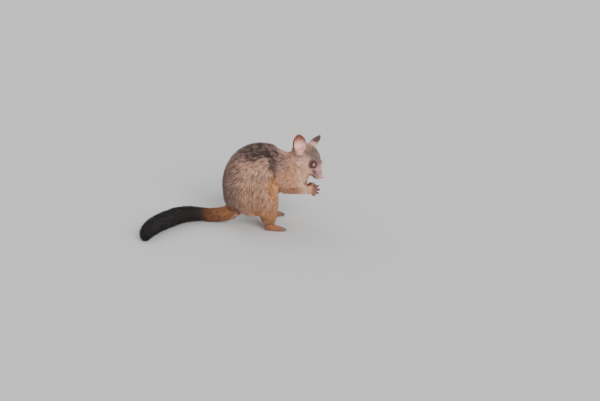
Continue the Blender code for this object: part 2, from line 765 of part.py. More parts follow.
def finish(nodes):
    """Names and colours the nodes, centres the possum on the origin and files it in one collection."""
    group = bpy.data.collections.new("brushtail_possum")
    bpy.context.scene.collection.children.link(group)
    points = np.array([v.co for made in nodes.values() for v in made.data.vertices])
    shift = -(points.min(0) + points.max(0)) / 2
    shift[2] = -points[:, 2].min()
    for name, made in nodes.items():
        made.data.transform(Matrix.Translation(shift))
        made.data.shade_smooth()
        made.data.set_sharp_from_angle(angle=SHARP)
        made.name = made.data.name = name
        for holder in list(made.users_collection):
            holder.objects.unlink(made)
        group.objects.link(made)
        kind = next(kind for kind in COATS if name.startswith(kind))
        made.data.materials.clear()
        made.data.materials.append(coat_material(name, COATS[kind]))


def coat_material(name, colour):
    material = bpy.data.materials.new(name)
    material.use_nodes = True
    shader = material.node_tree.nodes["Principled BSDF"]
    shader.inputs["Base Color"].default_value = (*colour, 1)
    shader.inputs["Roughness"].default_value = 0.2 if name.startswith("eye") else 0.85
    material.diffuse_color = (*colour, 1)
    return material


def main():
    clear_scene()
    nodes = body_nodes()
    head = nodes["head"]
    nodes.update(eye_nodes(head))
    nodes["nose_pad"] = face_features(head)
    nodes.update(ear_nodes(head, nodes["neck"]))
    nodes.update(hands_and_feet())
    nodes.update(brush_nodes())
    finish(nodes)


main()
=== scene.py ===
"""The looks of a life-size brushtail possum that sits hunched on its hind feet, forepaws held up before its muzzle.

The skin is drawn from the solids and lies inside them by the depth of the coat. The coat is closed tufts set on
the skin along its lie. Sizes are in millimetres from the point on the floor under the possum's body, +X the way
it faces and its right side at -Y. A comb is a line along the lie of the coat, with the coat's depth at each place.
"""

import math

import bmesh
import bpy
import numpy as np
from mathutils import Matrix, Vector
from mathutils.bvhtree import BVHTree
from mathutils.kdtree import KDTree


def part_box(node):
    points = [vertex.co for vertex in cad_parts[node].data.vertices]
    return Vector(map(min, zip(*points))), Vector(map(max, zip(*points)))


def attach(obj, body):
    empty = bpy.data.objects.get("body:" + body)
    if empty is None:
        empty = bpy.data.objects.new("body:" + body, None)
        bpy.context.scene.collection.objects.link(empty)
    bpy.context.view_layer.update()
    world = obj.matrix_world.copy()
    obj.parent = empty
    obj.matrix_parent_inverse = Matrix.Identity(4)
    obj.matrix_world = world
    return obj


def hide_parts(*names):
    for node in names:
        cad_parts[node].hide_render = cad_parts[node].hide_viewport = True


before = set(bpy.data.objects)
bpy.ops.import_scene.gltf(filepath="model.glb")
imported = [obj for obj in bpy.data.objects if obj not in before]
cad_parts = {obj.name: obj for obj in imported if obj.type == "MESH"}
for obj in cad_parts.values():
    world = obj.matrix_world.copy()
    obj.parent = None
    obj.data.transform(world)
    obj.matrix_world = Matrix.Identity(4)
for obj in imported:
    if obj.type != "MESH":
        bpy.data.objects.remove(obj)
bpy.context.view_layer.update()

MM = 0.001
UP = Vector((0, 0, 1))
SIDES = (("right", -1), ("left", 1))
FLESH = ("torso", "neck", "foreleg_right", "foreleg_left", "hindleg_right", "hindleg_left")
TAIL_PARTS = ("tail_base", "tail_brush", "tail_tip")
# Each paw's wrist or heel, the way it points and the way its back faces
PAW_LINES = {
    "hand_right": ((153, -36.6, 105), (0.95, 0.10, 0.02), (-0.12, -0.95, 0.10)),
    "hand_left": ((151, 11, 101), (0.86, -0.36, -0.02), (-0.30, 0.92, 0.12)),
    "foot_right": ((35, -63, 0), (1, 0.1, 0), (0, 0, 1)),
    "foot_left": ((35, 63, 0), (1, -0.1, 0), (0, 0, 1)),
}

# The head's turn and scale, and the places of its features in its own frame
HEAD_YAW, HEAD_PITCH, HEAD_ROLL, HEAD_SCALE = math.radians(-31), math.radians(43), math.radians(-7), 1.05
NOSE_TIP = (193.5, -36, 138.5)
EYE_CENTRE, EYE_LOOK = (-40.5, 16.6, 12.5), (0.48, 0.84, 0.26)
EYE_RADIUS, HAIRLESS_ROUND_EYE = 8.1, 8.9
LID_HALF, LID_TALL = 7.4, 5.3
HEAD_BALL, HEAD_RADII, SKULL = (-46, 0, 4), (58, 48, 50), (-66, 0, 6)
MOUTH = [(-31, 14, -10.8), (-26, 12.5, -11.4), (-19, 10.5, -10.8), (-12, 8, -9.4), (-7.5, 4.5, -8.2), (-6.3, 0, -7.6)]
EAR_RIGHT = ((-88, -29.5, 15), (-0.54, -0.46, 0.71))
EAR_LEFT = ((-85, 27, 17), (-0.16, 0.77, 0.60))
EAR_OPENS, EAR_LONG = (0.74, 0.64, 0.14), 48

# The tail from root to tip: its line, its radius out to the hairs' tips and its coat's depth
TAIL = [
    (-36, 2, 52, 26, 8),
    (-70, 8, 30, 22.5, 7.5),
    (-106, 18, 21.5, 21.5, 8),
    (-142, 20, 23, 23.5, 11),
    (-188, 6, 27, 28, 15),
    (-229, -31, 27, 28, 15.5),
    (-260, -74, 25, 27, 15),
    (-280, -117, 20, 22, 12),
    (-286, -150, 9, 10, 6),
]
TAIL_CORE_END = -2

# Combs over the body: places on the coat and its depth there. Those of the right side serve the left one too
MIDDLE_COMBS = {
    "back": [
        (118, 0, 200, 8), (90, 0, 205, 9), (60, 0, 222, 10), (25, 0, 230, 10), (-10, 0, 215, 10),
        (-38, 0, 190, 10), (-60, 0, 150, 10), (-72, 0, 110, 10), (-76, 0, 75, 9), (-74, 5, 50, 7),
    ],
    "chest": [(137, -5, 165, 6), (143, -5, 140, 6), (136, 0, 112, 6), (110, 0, 92, 7), (85, 0, 84, 8)],
    "belly": [(85, 0, 84, 8), (55, 0, 60, 8), (20, 0, 38, 8), (-15, 0, 34, 8), (-45, 0, 34, 7)],
}
RIGHT_COMBS = {
    "upper_flank": [(105, -35, 188, 8), (80, -50, 190, 9), (45, -60, 190, 10), (10, -64, 180, 10), (-20, -62, 155, 10)],
    "lower_flank": [(98, -52, 150, 8), (75, -60, 140, 9), (50, -66, 130, 9), (30, -72, 112, 9)],
    "rump": [(-20, -62, 155, 10), (-45, -50, 125, 10), (-60, -36, 90, 9), (-66, -20, 60, 8)],
    "neck": [(140, -34, 185, 6), (122, -44, 168, 7), (105, -50, 150, 8)],
    "thigh": [(22, -70, 178, 9), (8, -82, 145, 9), (2, -86, 110, 9), (2, -84, 80, 8), (10, -78, 52, 7), (20, -70, 40, 6)],
    "thigh_front": [(46, -60, 168, 8), (60, -70, 130, 8), (66, -78, 95, 7), (64, -82, 65, 5), (56, -76, 36, 3), (53, -70, 20, 2.4)],
    "thigh_back": [(-35, -60, 130, 9), (-44, -62, 95, 9), (-34, -62, 60, 8), (-8, -62, 42, 7), (14, -64, 36, 6)],
    "shank_back": [(18, -68, 60, 6), (28, -68, 38, 4), (33, -66, 20, 2.4)],
    "shank_side": [(36, -88, 80, 7), (42, -86, 55, 4.5), (45, -78, 32, 3), (47, -74, 20, 2.4)],
    "inner_leg": [(30, -30, 85, 6), (34, -38, 58, 5), (40, -48, 30, 3), (44, -52, 20, 2.4)],
    "foot": [(50, -63, 16, 1.8), (56, -63, 14, 1.1), (64, -62, 12, 0.7), (76, -61, 9, 0.45), (95, -60, 5, 0.3)],
    "heel": [(34, -63, 16, 1.8), (33, -63, 8, 0.9), (50, -63, 1, 0.3)],
    "arm_front": [(120, -46, 150, 6), (118, -52, 136, 5), (120, -56, 124, 4), (128, -56, 116, 3)],
    "upper_arm": [(104, -46, 182, 8), (104, -60, 160, 7), (98, -70, 140, 6), (86, -72, 124, 5.5)],
    "shoulder": [(122, -44, 170, 7), (122, -52, 145, 6.5), (108, -62, 128, 6)],
}
ARM_COMBS = {
    "right_outer": [(80, -68, 120, 5), (107, -65, 117, 3.6), (129, -57, 112, 2.4), (148, -49, 107, 1.9), (164, -45, 106, 1.2), (180, -42, 104, 0.3)],
    "right_inner": [(85, -32, 120, 5), (107, -31, 117, 3.6), (129, -29, 112, 2.4), (148, -27, 107, 1.9), (162, -26, 105, 1.2), (178, -26, 103, 0.3)],
    "right_under": [(78, -50, 102, 5), (107, -48, 98, 3.2), (129, -43, 96, 2.2), (148, -37, 94, 1.8), (160, -36, 94, 1.1), (176, -35, 95, 0.3)],
    "left_outer": [(80, 68, 120, 5), (107, 60, 117, 3.6), (129, 43, 112, 2.4), (147, 25, 104, 1.9), (160, 17, 102, 1.2), (175, 8, 99, 0.3)],
    "left_inner": [(85, 32, 120, 5), (107, 27, 117, 3.6), (125, 14, 112, 2.4), (140, 5, 104, 1.9), (153, -2, 102, 1.2), (168, -8, 99, 0.3)],
    "left_under": [(78, 50, 102, 5), (107, 43, 98, 3.2), (129, 28, 96, 2.2), (146, 14, 92, 1.8), (157, 8, 91, 1.1), (172, 1, 91, 0.3)],
}
# Combs over the head, in its own frame. Those off the middle serve both sides
HEAD_COMBS = {
    "bridge": [
        (-5, 0, 4, 0.3), (-19, 0, 12, 0.5), (-30, 0, 17, 0.9), (-41, 0, 24, 1.5), (-54, 0, 34, 2.4),
        (-68, 0, 39, 3.4), (-83, 0, 36, 4.6), (-97, 0, 27, 6), (-108, 0, 15, 7),
    ],
    "cheek": [
        (-8, -7, -2, 0.3), (-18, -12, -3, 0.5), (-30, -16, -3, 0.9), (-44, -25, -2, 2.2), (-60, -34, 0, 3.6),
        (-76, -35, 0, 5), (-92, -30, -2, 6.5),
    ],
    "temple": [(-26, -13, 10, 0.7), (-42, -22, 24, 1.4), (-56, -28, 25, 2.4), (-70, -31, 20, 3.6), (-86, -32, 10, 5)],
    "under_eye": [(-24, -14, 2, 0.7), (-38, -22, 4, 1.4), (-52, -30, 10, 2.6), (-66, -34, 10, 3.8)],
    "jaw": [(-9, -2, -10, 0.4), (-20, -5, -19, 0.9), (-35, -9, -25, 1.8), (-50, -12, -25, 3.2), (-66, -14, -20, 5)],
}

# Colours of the coat and of bare skin as the eye sees them in full light: red, green and blue to 255
GRIZZLE, SMOKE, BLACK = (168, 134, 120), (112, 90, 83), (23, 18, 14)
SILVER, TAWNY, ORANGE = (220, 172, 146), (208, 160, 130), (220, 156, 102)
RUST, CREAM, FAWN = (138, 80, 47), (255, 211, 174), (230, 171, 132)
FOREARM = (168, 112, 78)
FOREHEAD, CHEEK, MUZZLE = (150, 124, 112), (252, 206, 182), (218, 166, 162)
MAUVE, LID, LIP, PINK = (142, 98, 104), (84, 48, 46), (112, 70, 68), (214, 152, 146)
EAR_INSIDE, EAR_BASE, EAR_BACK = (152, 90, 73), (252, 200, 186), (98, 68, 57)
PAW, PALM, FINGER = (158, 106, 86), (150, 88, 76), (106, 62, 52)


def linear(colour):
    """A colour to 255 as the light it sends back."""
    share = np.array(colour, float) / 255
    return np.where(share <= 0.04045, share / 12.92, ((share + 0.055) / 1.055) ** 2.4)


def step(low, high, value):
    """0 up to low, 1 from high, smooth between. low may be the greater."""
    share = np.clip((value - low) / (high - low), 0, 1)
    return share * share * (3 - 2 * share)


def unit(vectors):
    return vectors / np.maximum(np.linalg.norm(vectors, axis=-1, keepdims=True), 1e-12)


def dot(a, b):
    return (a * b).sum(-1, keepdims=True)


def node_centre(name):
    low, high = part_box(name)
    return (low + high) / 2


def head_turn():
    turn = Matrix.Rotation(HEAD_YAW, 3, "Z") @ Matrix.Rotation(HEAD_PITCH, 3, "Y")
    return turn @ Matrix.Rotation(HEAD_ROLL, 3, "X")


TURN = head_turn()
TO_WORLD = np.array(TURN)
EYES = (node_centre("eye_right") + node_centre("eye_left")) / 2
NOSE = EYES - TURN @ Vector((EYE_CENTRE[0], 0, EYE_CENTRE[2])) * HEAD_SCALE * MM
SEAT = NOSE - Vector(NOSE_TIP) * MM


def head_place(x, y, z):
    """A place in the head's frame, in metres in the world."""
    return NOSE + TURN @ Vector((x, y, z)) * HEAD_SCALE * MM


def from_seat(points):
    """Points in metres as millimetres from the seat."""
    return (points - np.array(SEAT)) / MM


def in_head(points):
    """Points in metres in the head's own frame."""
    return (points - np.array(NOSE)) @ TO_WORLD / (HEAD_SCALE * MM)


def smooth_run(stations, steps):
    """The stations read along one smooth curve through them, with this many steps from each to the next."""
    rows = np.array(stations, float)
    rows = np.vstack([2 * rows[0] - rows[1], rows, 2 * rows[-1] - rows[-2]])
    run = []
    for a, b, c, d in zip(rows, rows[1:], rows[2:], rows[3:]):
        for t in np.arange(steps) / steps:
            cubic = 2 * a - 5 * b + 4 * c - d + t * (3 * (b - c) + d - a)
            run.append(b + 0.5 * t * (c - a + t * cubic))
    return np.vstack([run, rows[-2]])


class Lie:
    """The way the coat lies and how deep it is, read from the combs near a place."""

    def __init__(self):
        rows = [*MIDDLE_COMBS.values(), *ARM_COMBS.values()]
        for comb in RIGHT_COMBS.values():
            rows += [comb, [(x, -y, z, depth) for x, y, z, depth in comb]]
        for comb in HEAD_COMBS.values():
            rows += [self.on_head(comb, 1), self.on_head(comb, -1)]
        for root, lean in (EAR_RIGHT, EAR_LEFT):
            root, lean = Vector(root), Vector(lean).normalized()
            rows.append(self.on_head([(*(root + lean * along), 0.35) for along in (4, 20, 34, EAR_LONG)], 1))
        rows += self.round_tail()
        runs = [smooth_run(comb, 4) for comb in rows]
        self.places = np.concatenate([(run[1:, :3] + run[:-1, :3]) / 2 for run in runs])
        self.depths = np.concatenate([(run[1:, 3] + run[:-1, 3]) / 2 for run in runs])
        self.ways = np.concatenate([unit(np.diff(run[:, :3], axis=0)) for run in runs])
        self.squares = (self.places**2).sum(1)
        self.table = np.column_stack([self.ways, self.depths, np.ones(len(self.depths))])

    @staticmethod
    def round_tail():
        """Four combs along the tail's surface."""
        run = np.array(TAIL, float)[1:]
        ahead = unit(np.gradient(run[:, :3], axis=0))
        aside = unit(np.cross(np.array(UP), ahead))
        above = np.cross(ahead, aside)
        combs = []
        for way in (aside, -aside, above, -above):
            combs.append(np.column_stack([run[:, :3] + way * run[:, 3:4] * 0.8, run[:, 4]]))
        return combs

    @staticmethod
    def on_head(comb, sign):
        rows = []
        for x, y, z, depth in comb:
            place = (head_place(x, y * sign, z) - SEAT) / MM
            rows.append((*place, depth))
        return rows

    def read(self, points):
        """The coat's way and its depth in metres, at points in metres."""
        places = from_seat(points)
        ways, depths = [], []
        for start in range(0, len(places), 8000):
            some = places[start : start + 8000]
            apart = (some**2).sum(1)[:, None] + self.squares - 2 * some @ self.places.T
            weight = 1 / (np.maximum(apart, 0) + 12) ** 2
            read = weight @ self.table
            ways.append(unit(read[:, :3]))
            depths.append(read[:, 3] / read[:, 4])
        return np.concatenate(ways), np.concatenate(depths) * MM


LIE = Lie()


def lattice_noise(points, size, seed):
    """Soft random values from -1 to 1 over space, with lumps of about this size in metres."""
    place = points / size
    cell = np.floor(place).astype(np.int64)
    share = place - cell
    share = share * share * (3 - 2 * share)
    total = np.zeros(len(points))
    for corner in np.ndindex(2, 2, 2):
        at = cell + corner
        mixed = at[:, 0] * 73856093 ^ at[:, 1] * 19349663 ^ at[:, 2] * 83492791 ^ seed * 2654435761
        mixed = (mixed ^ (mixed >> 13)) * 1274126177 & 0x7FFFFFFF
        value = (mixed ^ (mixed >> 16)) % 65536 / 32768 - 1
        weight = np.prod(np.where(corner, share, 1 - share), axis=1)
        total += value * weight
    return total


def blob(places, centre, radii):
    """1 at the centre of an ellipsoid, falling softly to 0 at its surface."""
    far = np.linalg.norm((places - np.array(centre)) / np.array(radii), axis=1)
    return step(1, 0.35, far)


def paint(base, colour, share):
    return base + (linear(colour) - base) * np.asarray(share)[:, None]


def tail_share(places):
    """How far along the tail's line each place is, in millimetres from the line's start."""
    run = smooth_run(TAIL, 8)[:, :3]
    length = np.concatenate([[0], np.cumsum(np.linalg.norm(np.diff(run, axis=0), axis=1))])
    tree = KDTree(len(run))
    for i, place in enumerate(run):
        tree.insert(place, i)
    tree.balance()
    return length[[tree.find(place)[1] for place in places]]


def body_colours(points):
    """The markings of trunk, limbs and tail, with painted shade in the fold between shoulder and haunch."""
    x, y, z = from_seat(points).T
    uneven = lattice_noise(points, 0.02, 5)
    side = np.abs(y)
    places = np.stack([x, -side, z], axis=1)
    colours = np.tile(linear(SILVER), (len(points), 1))
    # Darker along the rump and over the top of the back, with a smoky patch on the ridge
    colours = paint(colours, GRIZZLE, step(-12, -48, x + uneven * 6) * step(20, 70, z) * 0.75)
    colours = paint(colours, GRIZZLE, step(186, 208, z + uneven * 7) * step(110, 70, x))
    colours = paint(colours, SMOKE, step(194, 219, z + uneven * 8) * step(-34, -6, x) * step(84, 62, x) * 0.45)
    colours = paint(colours, SMOKE, step(-50, -76, x + uneven * 4) * 0.5)
    colours = paint(colours, TAWNY, blob(places, (4, -84, 92), (66, 60, 84)) * 0.95)
    colours = paint(colours, ORANGE, blob(places, (60, -72, 125), (26, 44, 76)) * 0.9)
    colours = paint(colours, CREAM, blob(places, (38, -62, 168), (26, 26, 10)) * 0.35)
    colours = paint(colours, ORANGE, step(92, 50, z) * step(-34, 16, x) * step(34, 50, side) * step(115, 90, x))
    colours = paint(colours, RUST, blob(places, (34, -66, 30), (44, 34, 38)) * 0.45)
    colours = paint(colours, FAWN, blob(places, (112, -60, 160), (42, 44, 60)) * 0.85)
    colours = paint(colours, GRIZZLE, blob(places, (88, -44, 196), (30, 44, 30)) * 0.9)
    # Painted shade: a dark band down each side in the fold between shoulder and haunch
    colours = paint(colours, SMOKE, blob(places, (64, -58, 182), (14, 46, 44)) * 0.95)
    colours = paint(colours, CREAM, blob(places, (142, -24, 150), (34, 50, 48)))
    colours = paint(colours, CREAM, step(110, 84, z) * step(-16, 24, x) * step(56, 36, side))
    colours = paint(colours, CREAM, blob(places, (146, -42, 106), (24, 22, 20)) * 0.5)
    colours = paint(colours, FOREARM, blob(places, (108, -68, 112), (44, 24, 24)) * 0.95)
    along = tail_share(np.stack([x, y, z], axis=1))
    on_tail = step(-30, -56, x + uneven * 4) * step(74, 54, z)
    colours = paint(colours, RUST, on_tail)
    colours = paint(colours, ORANGE, on_tail * step(96, 30, along) * 0.4)
    return paint(colours, BLACK, on_tail * step(74, 120, along + uneven * 8))


def head_colours(points):
    """The markings of the head and its bare skin."""
    places = in_head(points)
    x, y, z = places.T
    places = np.stack([x, np.abs(y), z], axis=1)
    uneven = lattice_noise(points, 0.01, 9)
    colours = np.tile(linear(CHEEK), (len(points), 1))
    brow = np.interp(x, [-110, -83, -60, -41, -19, 0], [12, 17, 20, 12, 6, 0])
    colours = paint(colours, FOREHEAD, step(-6, 6, z - brow + uneven * 3) * step(-10, -28, x))
    colours = paint(colours, GRIZZLE, step(-88, -108, x) * step(0, 14, z) * 0.7)
    colours = paint(colours, CREAM, step(-4, -14, z + uneven * 3) * step(-12, -30, x))
    colours = paint(colours, MUZZLE, step(-38, -22, x) * step(-8, -2, z))
    colours = paint(colours, MAUVE, blob(places, (-25, 13, -1), (11, 9, 8)) * 0.75)
    colours = paint(colours, CREAM, blob(places, (-15, 6, -12), (16, 12, 9)) * 0.6)
    colours = paint(colours, EAR_BASE, blob(places, (-78, 34, 4), (18, 16, 18)) * 0.7)
    ring = np.linalg.norm(places - np.array(EYE_CENTRE), axis=1)
    colours = paint(colours, GRIZZLE, step(17, 11.5, ring) * 0.6)
    colours = paint(colours, LID, step(11.6, 9.4, ring) * 0.85)
    line = smooth_run(MOUTH, 4)
    near = np.sqrt(((places[:, None] - line[None]) ** 2).sum(2)).min(1)
    colours = paint(colours, LIP, step(2.4, 1.1, near) * 0.85)
    nose = np.linalg.norm(places - np.array([-3, 0, 0.5]), axis=1)
    return paint(colours, PINK, step(8.6, 6.6, nose) * 0.7)


def in_ear(points, normals, side):
    """How far up the ear each place is, in millimetres, and from 1 in its hollow to -1 on its back."""
    root, lean = EAR_RIGHT if side == "right" else EAR_LEFT
    x, y, z = EAR_OPENS
    lean = np.array(Vector(lean).normalized())
    opens = np.array((x, -y if side == "right" else y, z))
    opens = unit(opens - lean * (opens @ lean))
    places = in_head(points) - np.array(root)
    along = places @ lean
    away = unit(places - along[:, None] * lean - opens * 3.5)
    return along, -dot(normals @ TO_WORLD, away)[:, 0]


def ear_colours(points, normals, side):
    """Bare pink inside, pale at its base, with a brown back and a darker rim."""
    along, inward = in_ear(points, normals, side)
    along = along + lattice_noise(points, 0.006, 3) * 3
    colours = np.tile(linear(EAR_INSIDE), (len(points), 1))
    colours = paint(colours, EAR_BASE, step(40, 6, along))
    colours = paint(colours, EAR_BACK, step(0.1, -0.3, inward) * step(8, 20, along))
    return paint(colours, EAR_BACK, step(34, 47, along) * 0.5)


def on_paw(points, name):
    """How far along its paw each place is from the wrist or heel, in millimetres."""
    place, ahead, _ = PAW_LINES[name]
    return (from_seat(points) - np.array(place)) @ np.array(Vector(ahead).normalized())


def from_claw(points, name):
    """How far each place is from the middle of the nearest claw of its paw, in millimetres."""
    claws = [np.array(node_centre(claw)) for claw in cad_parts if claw.startswith("claw_" + name)]
    return np.min([np.linalg.norm(points - claw, axis=1) for claw in claws], axis=0) / MM


def creases(near):
    """1 in the folds across a digit, 0 between them."""
    return sum(np.exp(-(((near - at) / 0.6) ** 2)) for at in (8.6, 12.4, 14.6, 18.4))


def under_paw(normals, name):
    """1 where the surface faces the way the pads do, -1 on the back of the paw."""
    return -normals @ np.array(Vector(PAW_LINES[name][2]).normalized())


def paw_colours(points, normals, name):
    """The leg's hair at the wrist or ankle, thin short hair on the back of the paw, bare pads and redder digits, with
    painted shade in the creases across the digits.
    """
    along, under = on_paw(points, name), under_paw(normals, name)
    uneven = lattice_noise(points, 0.005, 8) * 2
    reach = 17 if name.startswith("hand") else 48
    colours = np.tile(linear(PAW), (len(points), 1))
    colours = paint(colours, FINGER, step(reach, reach + 12, along + uneven))
    colours = paint(colours, FAWN if name.startswith("hand") else FOREARM, step(reach - 2, reach - 15, along + uneven))
    colours = paint(colours, PALM, step(-0.1, 0.5, under))
    # Painted shade: the folds across the digits a little darker
    return paint(colours, LIP, creases(from_claw(points, name)) * 0.3)


def new_piece(name, mesh, slot, *nodes):
    """A finished piece that rides with the possum and stands for these nodes."""
    piece = bpy.data.objects.new(name, mesh)
    bpy.context.scene.collection.objects.link(piece)
    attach(piece, "root")
    if nodes:
        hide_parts(*nodes)
    return piece


def copy_shell(bm, name, swell):
    """Adds a node's surface, its corners merged, moved outwards by this much."""
    solid = bmesh.new()
    solid.from_mesh(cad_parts[name].data)
    bmesh.ops.remove_doubles(solid, verts=solid.verts, dist=1e-6)
    bmesh.ops.recalc_face_normals(solid, faces=solid.faces)
    solid.normal_update()
    for v in solid.verts:
        v.co += v.normal * swell
    mesh = bpy.data.meshes.new("shell")
    solid.to_mesh(mesh)
    solid.free()
    bm.from_mesh(mesh)
    bpy.data.meshes.remove(mesh)


def add_tube(bm, rows, sides=20):
    """A closed tube through rows of x, y, z and radius, in metres."""
    rings = []
    for i, row in enumerate(rows):
        ahead = Vector(rows[min(i + 1, len(rows) - 1)][:3] - rows[max(i - 1, 0)][:3])
        place = Matrix.Translation(row[:3]) @ ahead.to_track_quat("Z", "Y").to_matrix().to_4x4()
        ring = bmesh.ops.create_circle(bm, segments=sides, radius=row[3], matrix=place)["verts"]
        rings.append((ring, list({e for v in ring for e in v.link_edges})))
    for (_, lower), (_, upper) in zip(rings, rings[1:]):
        bmesh.ops.bridge_loops(bm, edges=lower + upper)
    for ring, _ in (rings[0], rings[-1]):
        bmesh.ops.contextual_create(bm, geom=ring)


def evaluated(mesh, *modifiers):
    """The mesh with these modifiers applied. Each is its type and its settings."""
    holder = bpy.data.objects.new("holder", mesh)
    bpy.context.scene.collection.objects.link(holder)
    for kind, settings in modifiers:
        modifier = holder.modifiers.new(kind, kind)
        for key, value in settings.items():
            setattr(modifier, key, value)
    graph = bpy.context.evaluated_depsgraph_get()
    made = bpy.data.meshes.new_from_object(holder.evaluated_get(graph))
    bpy.data.objects.remove(holder)
    return made


def melted(bm, voxel, rounds):
    """The shells of a bmesh melted into one skin and smoothed."""
    bmesh.ops.recalc_face_normals(bm, faces=bm.faces)
    mesh = bpy.data.meshes.new("shells")
    bm.to_mesh(mesh)
    bm.free()
    melt = ("REMESH", {"mode": "VOXEL", "voxel_size": voxel * MM})
    return evaluated(mesh, melt, ("SMOOTH", {"factor": 0.5, "iterations": rounds}))


def read_points(mesh):
    points = np.empty(len(mesh.vertices) * 3)
    mesh.vertices.foreach_get("co", points)
    return points.reshape(-1, 3)


def read_normals(mesh):
    normals = np.empty(len(mesh.vertices) * 3)
    mesh.vertex_normals.foreach_get("vector", normals)
    return normals.reshape(-1, 3)


def write_points(mesh, points):
    mesh.vertices.foreach_set("co", points.ravel())
    mesh.update()


def write_colours(mesh, colours):
    """Keeps a colour at each vertex, which the finishes read as coat."""
    layer = mesh.color_attributes.new("coat", "FLOAT_COLOR", "POINT")
    full = np.ones((len(colours), 4), np.float32)
    full[:, :3] = colours
    layer.data.foreach_set("color", full.ravel())


def sink(mesh, extra, share=1.0):
    """Draws the surface inwards by the depth of the coat and by this much more, all times a share."""
    points = read_points(mesh)
    _, depths = LIE.read(points)
    deeper = (depths + extra) * share
    write_points(mesh, points - read_normals(mesh) * deeper[:, None])


def from_eye(points):
    """The distance to the nearer eye, in the head's own millimetres."""
    places = in_head(points)
    places[:, 1] = np.abs(places[:, 1])
    return np.linalg.norm(places - np.array(EYE_CENTRE), axis=1)


def from_skull(points):
    """The distance from the middle of the skull, where 1 is at its surface."""
    return np.linalg.norm((in_head(points) - np.array(HEAD_BALL)) / np.array(HEAD_RADII), axis=1)


def ankle_middle(name):
    """The middle of a foot's top, which is cut flat under the shank, in metres."""
    points = read_points(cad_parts[name].data)
    return points[points[:, 2] > points[:, 2].max() - MM].mean(0)


def joint_cores(name):
    """Tubes that carry the limb's skin on into its paw."""
    place, ahead, _ = PAW_LINES[name]
    rows = []
    if name.startswith("foot"):
        x, y, z = ankle_middle(name)
        for forward in (-5.5 * MM, 4.5 * MM):
            rows.append([np.array((x + forward, y, z + up * MM, 6.6 * MM)) for up in (14, 5, -4, -9)])
    else:
        start, way = np.array(place), np.array(Vector(ahead).normalized())
        steps = [(start + way * along) * MM + np.array(SEAT) for along in (-14, -5, 3, 9)]
        rows.append([np.array((*step_place, wide * MM)) for step_place, wide in zip(steps, (6.8, 6.8, 6.6, 5.2))])
    return rows


def body_skin():
    """One skin under the coat from the nape to the tail's tip, ending inside the wrists and ankles."""
    bm = bmesh.new()
    for name in (*FLESH, "head"):
        copy_shell(bm, name, 0.6 * MM)
    mesh = melted(bm, 2.6, 6)
    share = 0.3 * step(1.12, 0.85, from_skull(read_points(mesh)))
    sink(mesh, 0.6 * MM)
    points = read_points(mesh)
    write_points(mesh, points + (np.array(head_place(*SKULL)) - points) * share[:, None])
    bm = bmesh.new()
    bm.from_mesh(mesh)
    core = smooth_run(TAIL, 6)[3:TAIL_CORE_END]
    core[:, :3] = core[:, :3] * MM + np.array(SEAT)
    core[:, 3] = (core[:, 3] - core[:, 4]) * MM
    add_tube(bm, core)
    for name in PAW_LINES:
        for row in joint_cores(name):
            add_tube(bm, row)
    mesh = melted(bm, 2.4, 4)
    mesh.shade_smooth()
    points = read_points(mesh)
    _, depths = LIE.read(points)
    # The skin is darker under a deep coat: partly the dark underfur, partly painted shade under the hair
    shade = 0.6 + 0.3 * step(6.5 * MM, 2 * MM, depths)
    write_colours(mesh, body_colours(points) * shade[:, None])
    return mesh


def head_skin():
    """The skin of the face and skull, with the lips and the dark ring round each eye painted on it."""
    bm = bmesh.new()
    copy_shell(bm, "head", 0.15 * MM)
    mesh = melted(bm, 1.0, 3)
    sink(mesh, 0, step(9, 13, from_eye(read_points(mesh))))
    bm = bmesh.new()
    bm.from_mesh(mesh)
    mesh = melted(bm, 1.0, 1)
    mesh.shade_smooth()
    write_colours(mesh, head_colours(read_points(mesh)))
    return mesh


def narrowed(points, name):
    """A paw's points, drawn in towards its limb's line where the limb's longer hair begins."""
    if name.startswith("foot"):
        away = points - ankle_middle(name)
        away[:, 2] = 0
        share = 2.6 * step(9, 19, points[:, 2] / MM)
    else:
        place, ahead, _ = PAW_LINES[name]
        way = np.array(Vector(ahead).normalized())
        away = points - (np.array(place) * MM + np.array(SEAT))
        away = away - dot(away, way) * way
        share = 1.6 * step(5, -5, on_paw(points, name))
    far = np.linalg.norm(away, axis=1)
    return points - unit(away) * (share * MM * np.minimum(far / (6 * MM), 1))[:, None]


def fine_skin(name, voxel, rounds, swell=0.1):
    bm = bmesh.new()
    copy_shell(bm, name, swell * MM)
    mesh = melted(bm, voxel, rounds)
    mesh.shade_smooth()
    return mesh


class Wire:
    """A shader's number that sums can be written with."""

    def __init__(self, finish, socket):
        self.finish, self.socket = finish, socket

    def __add__(self, other):
        return self.finish.maths("ADD", self, other)

    def __sub__(self, other):
        return self.finish.maths("SUBTRACT", self, other)

    def __rsub__(self, other):
        return self.finish.maths("SUBTRACT", other, self)

    def __mul__(self, other):
        return self.finish.maths("MULTIPLY", self, other)

    __radd__, __rmul__ = __add__, __mul__


